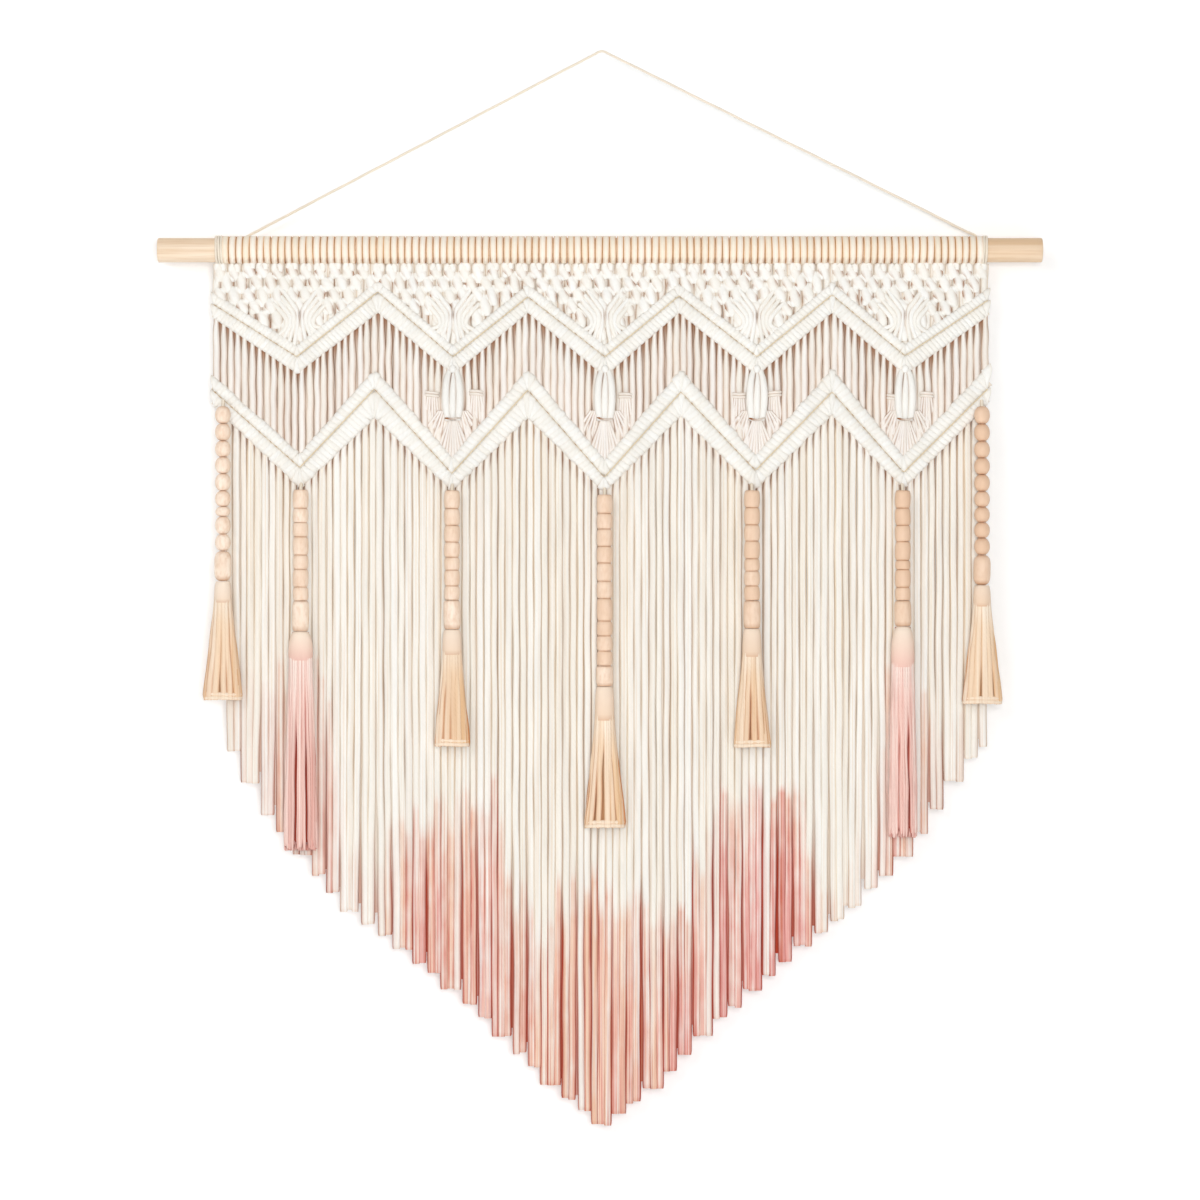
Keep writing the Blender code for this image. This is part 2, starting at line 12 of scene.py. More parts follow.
import bpy
import numpy as np
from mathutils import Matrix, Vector


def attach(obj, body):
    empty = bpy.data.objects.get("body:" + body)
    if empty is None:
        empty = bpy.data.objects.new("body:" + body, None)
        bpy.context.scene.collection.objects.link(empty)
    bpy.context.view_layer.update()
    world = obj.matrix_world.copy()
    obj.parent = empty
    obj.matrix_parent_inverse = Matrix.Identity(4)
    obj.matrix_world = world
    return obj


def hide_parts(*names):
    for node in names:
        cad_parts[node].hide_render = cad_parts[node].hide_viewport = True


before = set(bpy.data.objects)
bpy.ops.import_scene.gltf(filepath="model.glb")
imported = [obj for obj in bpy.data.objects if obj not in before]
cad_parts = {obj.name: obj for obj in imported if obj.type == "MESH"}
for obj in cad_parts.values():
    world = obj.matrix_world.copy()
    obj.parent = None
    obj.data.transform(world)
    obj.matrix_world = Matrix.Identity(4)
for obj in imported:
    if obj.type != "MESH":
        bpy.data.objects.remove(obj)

LOG = logging.getLogger("wall_hanging")
MM = 0.001
BODY = "root"
SEED = 7
Array = np.ndarray
Triple = tuple[float, float, float]
Rows = tuple[tuple[float, ...], ...]
Material = bpy.types.Material
Socket = bpy.types.NodeSocket


# ---------------------------------------------------------------------------------------------- sizes

@dataclass(frozen=True)
class Band:
    """A zigzag band of knots: its turning points as rows of x, top edge, seam and bottom edge."""

    rows: Rows

    def edge(self, column: int, x: Array | float) -> Array:
        """Height at x of the top edge (1), the seam (2) or the bottom edge (3)."""
        table = np.array(self.rows)
        return np.interp(x, table[:, 0], table[:, column])

    def slope(self, x: Array, reach: float = 9.0) -> Array:
        """Rise of the seam for each step to the right, softened within a reach of the turning points."""
        return (self.edge(SEAM, x + reach) - self.edge(SEAM, x - reach)) / (2 * reach)


TOP_EDGE, SEAM, BOTTOM_EDGE = 1, 2, 3
UPPER_BAND = Band((
    (-397, -246, -258, -272), (-311, -300, -312, -329), (-228.5, -234, -246, -267),
    (-152, -300, -312, -330), (-75.5, -238, -251, -267), (3, -300, -312, -332),
    (78.5, -237, -250, -267), (158, -300, -312, -331), (234.5, -236, -249, -267),
    (309, -299, -311, -330), (394, -242, -254, -270),
))
LOWER_BAND = Band((
    (-397, -331, -346, -361), (-308, -411, -425, -446), (-232, -325, -345, -374),
    (-153, -414, -431, -448), (-75.5, -325, -346, -374), (2.5, -417, -435, -450),
    (80.5, -325, -348, -372), (156.5, -412, -428, -447), (234.5, -325, -348, -371),
    (307.5, -413, -430, -446), (394, -321, -344, -359),
))

PANEL_LEFT, PANEL_RIGHT = -397.0, 394.0
CORDS = 108
CORD_PITCH = (PANEL_RIGHT - PANEL_LEFT) / CORDS
CORD_X = PANEL_LEFT + (np.arange(CORDS) + 0.5) * CORD_PITCH
ROD_RADIUS = 12.5
ROD_AXIS_Z = -203.0


# --------------------------------------------------------------------------------------------- shapes

def hump(value: Array, middle: Array | float, width: Array | float) -> Array:
    """A bell curve: 1 at the middle, 1/e a width away from it."""
    return np.exp(-(((value - middle) / width) ** 2))


def smoothstep(low: float, high: float, value: Array) -> Array:
    """0 below low, 1 above high, and an S curve between them."""
    share = np.clip((value - low) / (high - low), 0, 1)
    return share * share * (3 - 2 * share)


def around(count: int, start: float = 0.0) -> Array:
    """Angles evenly once round a circle, from a start counted in steps."""
    return 2 * math.pi * (np.arange(count) + start) / count


def signed_power(value: Array, power: float) -> Array:
    """A value raised to a power, with its sign kept."""
    return np.sign(value) * np.abs(value) ** power


def unit(vectors: Array) -> Array:
    """Vectors scaled to a length of 1."""
    return vectors / np.maximum(np.linalg.norm(vectors, axis=-1, keepdims=True), 1e-9)


def points(x: Array | float, y: Array | float, z: Array | float) -> Array:
    """Points from their coordinates, which are stretched to one shape."""
    return np.stack(np.broadcast_arrays(x, y, z), -1)


def hang(top: Array | float, end: Array, share: Array) -> Array:
    """Heights that go from each cord's top to its end, a row a cord."""
    top = np.broadcast_to(top, end.shape)[:, None]
    return top + (end[:, None] - top) * share


def alternate(count: int) -> Array:
    """1 and -1 in turn, one a row."""
    return np.where(np.arange(count) % 2 == 0, 1.0, -1.0)[:, None]


def smooth_path(rows: Array, spans: int) -> Array:
    """A smooth line through rows of points.

    Cubic Hermite curves between neighbours, with slopes by chord length.

    Args:
        rows: array (n, k); its first three columns are a place, and others go with it.
        spans: pieces that each gap is cut into.

    Returns:
        Array ((n - 1) * spans + 1, k).
    """
    chords = np.linalg.norm(np.diff(rows[:, :3], axis=0), axis=1)
    along = np.concatenate([[0.0], np.cumsum(chords)])
    slopes = np.gradient(rows, along, axis=0)
    t = (np.arange(spans) / spans)[None, :, None]
    gap = chords[:, None, None]
    run = (
        (2 * t**3 - 3 * t**2 + 1) * rows[:-1, None]
        + (t**3 - 2 * t**2 + t) * gap * slopes[:-1, None]
        + (3 * t**2 - 2 * t**3) * rows[1:, None]
        + (t**3 - t**2) * gap * slopes[1:, None]
    )
    return np.concatenate([run.reshape(-1, rows.shape[1]), rows[-1:]])


def placed(name: str, data: bpy.types.ID) -> bpy.types.Object:
    """A new object at the origin of the scene.

    Args:
        name: its name.
        data: its mesh, lamp or camera.

    Returns:
        The object.
    """
    made = bpy.data.objects.new(name, data)
    bpy.context.scene.collection.objects.link(made)
    return made


@dataclass
class Patch:
    """A closed surface: points, arrays of faces, UVs of their corners, a finish an array, point values."""

    points: Array
    faces: list[Array]
    corners: list[Array]
    finish: list[int]
    values: dict[str, Array]

    @staticmethod
    def joined(patches: list["Patch"]) -> "Patch":
        """All the patches as one.

        Args:
            patches: the surfaces, which keep their order.

        Returns:
            One patch, whose point values are 0 where a patch has none of that name.
        """
        names = sorted({name for patch in patches for name in patch.values})
        counts = [len(patch.points) for patch in patches]
        starts = np.cumsum([0] + counts[:-1])
        return Patch(
            np.concatenate([patch.points for patch in patches]),
            [face + start for patch, start in zip(patches, starts) for face in patch.faces],
            [uv for patch in patches for uv in patch.corners],
            [kind for patch in patches for kind in patch.finish],
            {
                name: np.concatenate([p.values.get(name, np.zeros(n)) for p, n in zip(patches, counts)])
                for name in names
            },
        )

    def build(self, name: str, materials: list[Material], sharp_degrees: float = 62) -> bpy.types.Object:
        """The patch as a smooth-shaded mesh object at the origin.

        Args:
            name: the object's name.
            materials: one for each finish number.
            sharp_degrees: an edge that turns by more stays sharp.

        Returns:
            The object, linked to the scene.
        """
        mesh = bpy.data.meshes.new(name)
        counts = np.concatenate([np.full(len(face), face.shape[1]) for face in self.faces])
        loops = np.concatenate([face.ravel() for face in self.faces])
        uvs = np.concatenate([uv.reshape(-1, 2) for uv in self.corners])
        kinds = np.concatenate([np.full(len(face), kind) for face, kind in zip(self.faces, self.finish)])
        mesh.vertices.add(len(self.points))
        mesh.vertices.foreach_set("co", (self.points * MM).astype(np.float32).ravel())
        mesh.loops.add(len(loops))
        mesh.loops.foreach_set("vertex_index", loops.astype(np.int32))
        mesh.polygons.add(len(counts))
        mesh.polygons.foreach_set("loop_start", (np.cumsum(counts) - counts).astype(np.int32))
        mesh.polygons.foreach_set("material_index", kinds.astype(np.int32))
        mesh.update(calc_edges=True)
        mesh.uv_layers.new(name="along").data.foreach_set("uv", uvs.astype(np.float32).ravel())
        for key, value in self.values.items():
            mesh.attributes.new(key, "FLOAT", "POINT").data.foreach_set("value", value.astype(np.float32))
        mesh.shade_smooth()
        mesh.set_sharp_from_angle(angle=math.radians(sharp_degrees))
        for material in materials:
            mesh.materials.append(material)
        return placed(name, mesh)


@dataclass(frozen=True)
class Section:
    """Cross-section of a tube: number of sides, squareness, twisted lobes and the painted shade on its sides.
    """

    sides: int = 8
    square: float = 1.0
    lobes: int = 0
    lobe_depth: float = 0.0
    lobe_pitch: float = 10.0
    trough_shade: float = 0.0
    groove: float = 1.0
    groove_shade_power: float = 5.0
    front_deep_shade: float = 0.0
    deep_shade_power: float = 2.5

    def darkened(self, values: dict[str, Array | float], facing: Array, crest: Array) -> dict[str, Array]:
        """Fold the painted shade of the sides into the shade and deep shade values.

        Args:
            values: point values as `sweep` takes them.
            facing: how far each point looks to the front, from -1 to 1.
            crest: height of the lobes round the tube, from -1 to 1.

        Returns:
            Point values of the shape of facing.
        """
        found = {}
        for name, value in values.items():
            value = np.asarray(value, float)
            if value.ndim < 3:
                value = np.broadcast_to(value, facing.shape[:2])[..., None]
            found[name] = np.broadcast_to(value, facing.shape)
        cosine = np.cos(around(self.sides))
        # Painted shade: each side darkens towards the groove between neighbours, and each trough between
        # lobes darkens.
        strength = self.groove * found.pop("groove", 1.0)
        shade = found.get("shade", 0.0) + strength * np.abs(cosine) ** self.groove_shade_power
        found["shade"] = np.clip(shade + self.trough_shade * (0.5 - 0.5 * crest), 0, 1)
        # Painted deep shade: on the front, on both sides, and on the left or right side alone.
        front = self.front_deep_shade * np.clip(facing * 1.6, 0, 1)
        pit = found.get("pit", 0.0) * np.maximum(np.abs(cosine) ** self.deep_shade_power, front)
        pit = pit + found.pop("pit_left", 0.0) * np.clip(-cosine, 0, 1) ** self.deep_shade_power
        pit = pit + found.pop("pit_right", 0.0) * np.clip(cosine, 0, 1) ** self.deep_shade_power
        found["pit"] = np.clip(pit, 0, 1)
        return {name: np.broadcast_to(value, facing.shape) for name, value in found.items()}


def sweep(
    lines: Array, width: Array | float, depth: Array | float, across: Array | Triple = (1.0, 0.0, 0.0),
    section: Section = Section(), closed: bool = False, finish: int = 0, cap: int = 0,
    **values: Array | float,
) -> Patch:
    """Oval tubes carried along many lines at once.

    A point is the line's point + side * width * c(a) + out * depth * s(a), where a goes once round the tube,
    c and s are its cosine and sine raised to the section's squareness with their sign kept, side is `across`
    made square to the line's direction, and out is direction x side. Lobes swell the section by
    1 + lobe_depth * cos(lobes * a - turn), and the turn grows with the length along the line, or stays 0
    where the pitch is 0.

    Args:
        lines: array (tubes, stations, 3) of points down the middle of each tube.
        width: half width towards `across`, for all or a number a tube and station.
        depth: half depth square to it, likewise.
        across: the direction that the width lies along, for all or one a tube.
        section: the cross-section.
        closed: whether each line joins its own start.
        finish: finish number of the sides.
        cap: finish number of the end faces.
        **values: point values, for all, a number a tube and station, or one a point. `shade` is painted shade
                  added to
        the side grooves, a groove value scales it, and the deep shade values paint deep shade on both sides
        or on the left or right one.

    Returns:
        The tubes as one patch, with painted `shade` from 0 on the crests to 1 in the grooves between
        neighbours.
    """
    tubes, stations, _ = lines.shape
    sides = section.sides
    if closed:
        direction = unit(np.roll(lines, -1, axis=1) - np.roll(lines, 1, axis=1))
    else:
        direction = unit(np.gradient(lines, axis=1))
    towards = np.broadcast_to(np.asarray(across, float), lines.shape)
    side = unit(towards - direction * np.sum(direction * towards, axis=2, keepdims=True))
    out = np.cross(direction, side)
    steps = np.linalg.norm(np.diff(lines, axis=1), axis=2)
    length = np.concatenate([np.zeros((tubes, 1)), np.cumsum(steps, axis=1)], axis=1)

    angle = around(sides)
    wide, deep = signed_power(np.cos(angle), section.square), signed_power(np.sin(angle), section.square)
    turn = 2 * math.pi * length[..., None] / section.lobe_pitch if section.lobe_pitch else 0.0
    crest = np.cos(section.lobes * angle - turn) if section.lobes else np.ones(sides)
    swell = 1 + section.lobe_depth * crest
    across_size = np.broadcast_to(width, (tubes, stations))[..., None] * wide * swell
    out_size = np.broadcast_to(depth, (tubes, stations))[..., None] * deep * swell
    side, out = side[:, :, None], out[:, :, None]
    surface = lines[:, :, None] + side * across_size[..., None] + out * out_size[..., None]

    number = np.arange(tubes * stations * sides).reshape(tubes, stations, sides)
    after = np.roll(number, -1, axis=2)
    if closed:
        quads = np.stack([number, after, np.roll(after, -1, axis=1), np.roll(number, -1, axis=1)], -1)
        low, high = length, np.concatenate([length[:, 1:], length[:, -1:] * 2 - length[:, -2:-1]], 1)
    else:
        quads = np.stack([number[:, :-1], after[:, :-1], after[:, 1:], number[:, 1:]], -1)
        low, high = length[:, :-1], length[:, 1:]
    u = np.broadcast_to(np.arange(sides) / sides, quads.shape[:3])
    v_low, v_high = (np.broadcast_to(v[..., None], quads.shape[:3]) / 10 for v in (low, high))
    corner_u = np.stack([u, u + 1 / sides, u + 1 / sides, u], -1)
    corner_v = np.stack([v_low, v_low, v_high, v_high], -1)
    faces = [quads.reshape(-1, 4)]
    corners = [np.stack([corner_u, corner_v], -1).reshape(-1, 4, 2)]
    if not closed:
        faces += [number[:, 0, ::-1], number[:, -1]]
        flat = np.stack([wide, deep], -1) / 2 + 0.5
        corners += [np.broadcast_to(ring, (tubes, sides, 2)) for ring in (flat[::-1], flat)]
    facing = -(side * np.cos(angle)[:, None] + out * np.sin(angle)[:, None])[..., 1]
    found = {name: value.ravel() for name, value in section.darkened(values, facing, crest).items()}
    return Patch(surface.reshape(-1, 3), faces, corners, [finish, cap, cap][: len(faces)], found)


# ------------------------------------------------------------------------------------------- finishes

def srgb(code: str) -> Triple:
    """A linear colour from a six-figure display colour."""
    parts = [int(code[i : i + 2], 16) / 255 for i in (0, 2, 4)]
    return tuple(c / 12.92 if c <= 0.04045 else ((c + 0.055) / 1.055) ** 2.4 for c in parts)


class Graph:
    """Adds nodes to a material and links them. A value is a socket, a number, a colour or its code."""

    def __init__(self, name: str) -> None:
        """A Principled shader and its output.

        Args:
            name: the material's name.
        """
        self.material = bpy.data.materials.new(name)
        self.material.use_nodes = True
        self.tree = self.material.node_tree
        self.tree.nodes.clear()
        self.shader = self.add("BsdfPrincipled")
        self.output = self.add("OutputMaterial", {0: self.shader.outputs[0]})

    def link(self, value: object, socket: Socket) -> None:
        """Link a socket to an input, or set the input.

        Args:
            value: what the input gets.
            socket: the input.
        """
        if isinstance(value, Socket):
            self.tree.links.new(value, socket)
            return
        value = srgb(value) if isinstance(value, str) else value
        socket.default_value = (*value, 1.0) if socket.type == "RGBA" and isinstance(value, tuple) else value

    def add(self, kind: str, inputs: dict | None = None, **settings: object) -> bpy.types.Node:
        """A node.

        Args:
            kind: its type, without the prefix that shader nodes share.
            inputs: values by the input's name or number.
            **settings: its other settings.

        Returns:
            The node.
        """
        node = self.tree.nodes.new(f"ShaderNode{kind}")
        for name, setting in settings.items():
            setattr(node, name, setting)
        for name, value in (inputs or {}).items():
            self.link(value, node.inputs[name])
        return node

    def math(self, operation: str, first: object, second: object = 0.0) -> Socket:
        """A Math node's result."""
        return self.add("Math", {0: first, 1: second}, operation=operation).outputs[0]

    def times(self, first: object, second: object) -> Socket:
        """The product."""
        return self.math("MULTIPLY", first, second)

    def plus(self, first: object, second: object) -> Socket:
        """The sum."""
        return self.math("ADD", first, second)

    def mix(self, share: object, first: object, second: object, blend: str = "MIX") -> Socket:
        """A colour part of the way from the first to the second."""
        return self.add("Mix", {0: share, 6: first, 7: second}, data_type="RGBA", blend_type=blend).outputs[2]

    def value(self, name: str) -> Socket:
        """A point value of the mesh."""
        return self.add("Attribute", attribute_name=name).outputs["Fac"]

    def place(self, scale: Triple, source: str = "Object") -> Socket:
        """Object coordinates or the UV map, stretched by a factor along each axis."""
        coordinates = self.add("TexCoord").outputs[source]
        return self.add("Mapping", {"Vector": coordinates, "Scale": scale}).outputs[0]

    def noise(self, place: Socket, scale: float, detail: float = 3.0) -> Socket:
        """Cloudy noise from 0 to 1."""
        return self.add("TexNoise", {"Vector": place, "Scale": scale, "Detail": detail}).outputs["Fac"]

    def spread(self, value: object, low: float, high: float, to: tuple[float, float]) -> Socket:
        """A value between low and high, mapped to another range and kept in it."""
        limits = {"From Min": low, "From Max": high, "To Min": to[0], "To Max": to[1]}
        return self.add("MapRange", {"Value": value, **limits}).outputs[0]

    def finished(self, inputs: dict, height: Socket, strength: float, distance: float) -> Material:
        """Set the shader's inputs and raise its surface by a height.

        Args:
            inputs: values by the input's name.
            height: height from 0 to 1.
            strength: strength of the relief.
            distance: height of the relief in metres.

        Returns:
            The material.
        """
        relief = self.add("Bump", {"Strength": strength, "Distance": distance, "Height": height}).outputs[0]
        for name, value in {**inputs, "Normal": relief}.items():
            self.link(value, self.shader.inputs[name])
        return self.material


@dataclass(frozen=True)
class Cotton:
    """Matt cotton: pale crests, painted shade in the grooves and gaps, and dye where the points carry it."""

    light: str
    cream: str
    groove: str
    peach: str = "EBC6A9"
    rose: str = "E5A8A4"
    dyed_groove_shade: str = "C1664F"
    pit: str = "7A4A32"
    dyed_deep_shade: str = "A63A24"
    ply: int = 3
    ply_pitch: float = 1.1
    ply_strength: float = 0.35
    streaks: float = 0.0

    def material(self, name: str) -> Material:
        """The finish as nodes: colour from the point values, plies and fibres from the UV map.

        Args:
            name: the material's name.

        Returns:
            The material.
        """
        graph = Graph(name)
        undyed = graph.mix(graph.value("tone"), self.light, self.cream)
        dye, rose, shade = graph.value("dye"), graph.value("rose"), graph.value("shade")
        if self.streaks:
            strands = graph.noise(graph.place((620.0, 150.0, 4.0)), 1.0, 2.0)
            others = graph.noise(graph.place((390.0, 190.0, 6.0)), 1.0, 2.0)
            sooner = graph.plus(others, graph.times(dye, 0.25))
            dye = graph.times(dye, graph.spread(sooner, 0.48, 0.78, (0.12, 1.3)))
            rose = graph.plus(rose, graph.spread(strands, 0.35, 0.65, (-0.45, 0.45)))
            # Painted shade along dark streaks between fine strands, stronger where dyed.
            dark = graph.spread(strands, 0.50, 0.72, (0.0, self.streaks))
            shade = graph.plus(shade, graph.times(dark, graph.plus(1.0, graph.times(dye, 1.2))))
        crest = graph.mix(dye, undyed, graph.mix(rose, self.peach, self.rose))
        # Colour of the painted shade in the grooves between strands, redder where dyed.
        groove = graph.mix(graph.value("dye"), self.groove, self.dyed_groove_shade)
        if self.streaks:
            crest = graph.mix(graph.spread(strands, 0.30, 0.48, (0.4, 0.0)), crest, self.light)
        colour = graph.mix(shade, crest, groove)
        # Painted deep shade in gaps and slits, deep red where the dye's hue is taken.
        pit = graph.value("pit")
        colour = graph.mix(pit, colour, graph.mix(graph.value("rust"), self.pit, self.dyed_deep_shade))
        blotch = graph.noise(graph.place((1.0, 1.0, 0.25)), 60.0)
        colour = graph.mix(1.0, colour, graph.spread(blotch, 0.3, 0.7, (0.94, 1.0)), "MULTIPLY")
        place = graph.add("SeparateXYZ", {0: graph.place((1.0, 1.0, 1.0), "UV")})
        plies = graph.times(place.outputs[0], 2 * math.pi * self.ply)
        turns = graph.times(place.outputs[1], 2 * math.pi / self.ply_pitch)
        twist = graph.math("ABSOLUTE", graph.math("SINE", graph.plus(plies, turns)))
        fibre = graph.noise(graph.place((9.0, 1.6, 1.0), "UV"), 6.0, 2.0)
        height = graph.plus(graph.times(twist, 0.7), graph.times(fibre, 0.5))
        look = {
            "Base Color": colour, "Roughness": 0.92, "Specular IOR Level": 0.2, "Sheen Weight": 0.12,
            "Sheen Roughness": 0.5,
        }
        return graph.finished(look, height, self.ply_strength, 0.0006)


@dataclass(frozen=True)
class Wood:
    """Bare sanded wood with a fine straight grain."""

    pale: str
    warm: str
    grain: str
    stretch: Triple
    crevice_shade: str = "B98152"

    def material(self, name: str) -> Material:
        """The finish as nodes: grain from Object coordinates, warmth and painted joint shade from the point
        values.

        Args:
            name: the material's name.

        Returns:
            The material.
        """
        graph = Graph(name)
        place = graph.place(self.stretch)
        broad = graph.spread(graph.noise(place, 1.0, 4.0), 0.35, 0.65, (0.0, 1.0))
        fine = graph.spread(graph.noise(place, 3.2, 5.0), 0.45, 0.7, (0.0, 0.55))
        colour = graph.mix(graph.value("tone"), self.pale, self.warm)
        colour = graph.mix(graph.times(broad, 0.45), colour, self.grain)
        colour = graph.mix(fine, colour, self.grain)
        # Painted shade where the point values say, in the crevices between beads.
        colour = graph.mix(graph.value("shade"), colour, self.crevice_shade)
        look = {"Base Color": colour, "Roughness": 0.55, "Specular IOR Level": 0.35}
        return graph.finished(look, fine, 0.25, 0.0003)


class Finish(Enum):
    """The hanging's materials, most of them with a slot of that name in the record."""

    IVORY = "ivory_cotton"
    WRAP = "heading_cotton"
    SEAM = "seam_cotton"
    DYED = "dyed_cotton"
    TWINE = "hanging_cord"
    STRAW = "straw_cotton"
    PINK = "pink_cotton"
    HEAD = "tassel_head"
    PINE = "pine"
    END_GRAIN = "end_grain"
    BEAD = "peach_wood"


FINISHES = {
    Finish.IVORY: Cotton("F2F1ED", "EEEAE1", "DABD9A", pit="965818"),
    Finish.WRAP: Cotton("F7F2E8", "F3E9D6", "D88E1C", pit="9A5400"),
    # The seam cord's tan is partly its own colour and partly painted shade of the groove between the rows.
    Finish.SEAM: Cotton("F0E0C2", "E2CBA2", "C4A070", pit="965818"),
    Finish.DYED: Cotton("F2F1ED", "EEEAE1", "DEC29E", pit="8A5220", streaks=0.34),
    Finish.TWINE: Cotton("F3EBDD", "ECDEC8", "CDB391"),
    Finish.STRAW: Cotton("F4E6D4", "E7C29A", "CE9764", pit="B86C38", streaks=0.3),
    Finish.PINK: Cotton("FBF0E6", "F4CEC2", "CC7A6C", pit="A83C28", streaks=0.45),
    Finish.HEAD: Cotton("F6E8D8", "E8CCB2", "D4A27C", ply_strength=0.15),
    Finish.PINE: Wood("F2E1CC", "DDBB96", "D6B48E", (6.0, 160.0, 160.0)),
    Finish.END_GRAIN: Wood("E3C49A", "D9B283", "B98A5A", (90.0, 90.0, 90.0)),
    Finish.BEAD: Wood("F9E9D8", "E2BFA2", "DFBC9E", (110.0, 110.0, 45.0)),
}


# --------------------------------------------------------------------------------------------- studio

@dataclass(frozen=True)
class Studio:
    """The view, a pale wall behind the hanging, a floor well below it, and soft lamps, in metres."""

    view_from: Triple = (-0.002, -4.0, -0.560)
    lens: float = 117.6
    wall_y: float = 0.026
    wall_top: float = 3.0
    floor_z: float = -1.75
    half_width: float = 4.0
    floor_reach: float = 6.0
    colour: Triple = (0.94, 0.94, 0.94)
    glow: float = 0.045
    lit: Triple = (0.0, 0.0, -0.55)
    lamps: tuple[tuple[str, Triple, float, float, Triple], ...] = (
        ("key", (-1.4, -2.7, 0.9), 1.6, 28.0, (1.0, 0.995, 0.985)),
        ("front", (0.35, -3.9, -0.35), 1.3, 70.0, (0.99, 0.995, 1.0)),
        ("back", (-0.6, 2.6, 0.2), 1.8, 24.0, (1.0, 0.99, 0.97)),
    )
    world_light: float = 0.34
    world_seen: float = 0.93

    def camera(self) -> None:
        """A level camera straight in front."""
        data = bpy.data.cameras.new("front view")
        data.lens = self.lens
        data.sensor_width = 36.0
        data.clip_end = 60.0
        camera = placed("front view", data)
        camera.location = self.view_from
        camera.rotation_euler = (math.pi / 2, 0.0, 0.0)
        bpy.context.scene.camera = camera

    def surface(self, name: str, corners: list[Triple], one_sided: bool) -> None:
        """A flat stage surface.

        Args:
            name: its name.
            corners: its four corners in metres, anticlockwise seen from its front.
            one_sided: whether it is clear from behind and to light.
        """
        mesh = bpy.data.meshes.new(name)
        mesh.from_pydata(corners, [], [(0, 1, 2, 3)])
        graph = Graph(name)
        look = {
            "Base Color": self.colour, "Roughness": 0.95, "Emission Color": (1.0, 1.0, 1.0),
            "Emission Strength": self.glow,
        }
        for key, value in look.items():
            graph.link(value, graph.shader.inputs[key])
        if one_sided:
            back = graph.add("NewGeometry").outputs["Backfacing"]
            away = graph.math("MAXIMUM", back, graph.add("LightPath").outputs["Is Shadow Ray"])
            clear = graph.add("BsdfTransparent").outputs[0]
            blend = graph.add("MixShader", {0: away, 1: graph.shader.outputs[0], 2: clear})
            graph.link(blend.outputs[0], graph.output.inputs[0])
        mesh.materials.append(graph.material)
        placed(name, mesh)

    def build(self) -> None:
        """Stage, lamps and surroundings."""
        y, z, wide, far = self.wall_y, self.floor_z, self.half_width, self.floor_reach
        wall = [(-wide, y, z), (wide, y, z), (wide, y, self.wall_top), (-wide, y, self.wall_top)]
        self.surface("pale wall", wall, one_sided=True)
        floor = [(-wide, -far, z), (wide, -far, z), (wide, far, z), (-wide, far, z)]
        self.surface("pale floor", floor, one_sided=False)
        for name, place, size, power, tint in self.lamps:
            data = bpy.data.lights.new(name, "AREA")
            data.size, data.energy, data.color = size, power, tint
            lamp = placed(name, data)
            lamp.location = place
            lamp.rotation_euler = (Vector(self.lit) - Vector(place)).to_track_quat("-Z", "Y").to_euler()
        world = bpy.data.worlds.new("surroundings")
        world.use_nodes = True
        tree = world.node_tree
        tree.nodes["Background"].inputs["Color"].default_value = (1.0, 1.0, 1.0, 1.0)
        path = tree.nodes.new("ShaderNodeLightPath")
        seen = tree.nodes.new("ShaderNodeMapRange")
        seen.inputs["To Min"].default_value = self.world_light
        seen.inputs["To Max"].default_value = self.world_seen
        tree.links.new(path.outputs["Is Camera Ray"], seen.inputs["Value"])
        tree.links.new(seen.outputs[0], tree.nodes["Background"].inputs["Strength"])
        bpy.context.scene.world = world
        bpy.context.scene.view_settings.view_transform = "Standard"
        bpy.context.scene.view_settings.look = "None"


# -------------------------------------------------------------------------------------- rod and cord

@dataclass
class Part:
    """What every sub-assembly is made with: the materials and one source of small differences."""

    materials: dict[Finish, Material]
    rng: np.random.Generator

    def column(self, low: float, high: float, count: int) -> Array:
        """Random numbers from low to high, one a row."""
        return self.rng.uniform(low, high, (count, 1))

    def drift(self, along: Array, *lengths: float) -> Array:
        """Slow random wander of many cords: for each length, a sine of that wavelength with a random start.

        Args:
            along: distances, a row a cord.
            *lengths: wavelengths.

        Returns:
            Values of about -1 to 1, of the shape of along.
        """
        total = np.zeros(along.shape)
        for length in lengths:
            start = self.column(0, 2 * math.pi, len(along))
            total = total + self.column(0.4, 1.0, len(along)) * np.sin(2 * math.pi * along / length + start)
        return total / len(lengths)

    def dress(
        self, name: str, patches: list[Patch], finishes: list[Finish], nodes: list[str],
        slot: Finish | None = None,
    ) -> bpy.types.Object:
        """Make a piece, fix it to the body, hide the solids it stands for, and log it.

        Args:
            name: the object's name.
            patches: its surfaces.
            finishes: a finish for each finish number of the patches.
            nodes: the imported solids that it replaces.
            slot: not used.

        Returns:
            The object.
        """
        piece = Patch.joined(patches).build(name, [self.materials[finish] for finish in finishes])
        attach(piece, BODY)
        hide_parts(*nodes)
        LOG.info("%s: %d faces", piece.name, len(piece.data.polygons))
        return piece


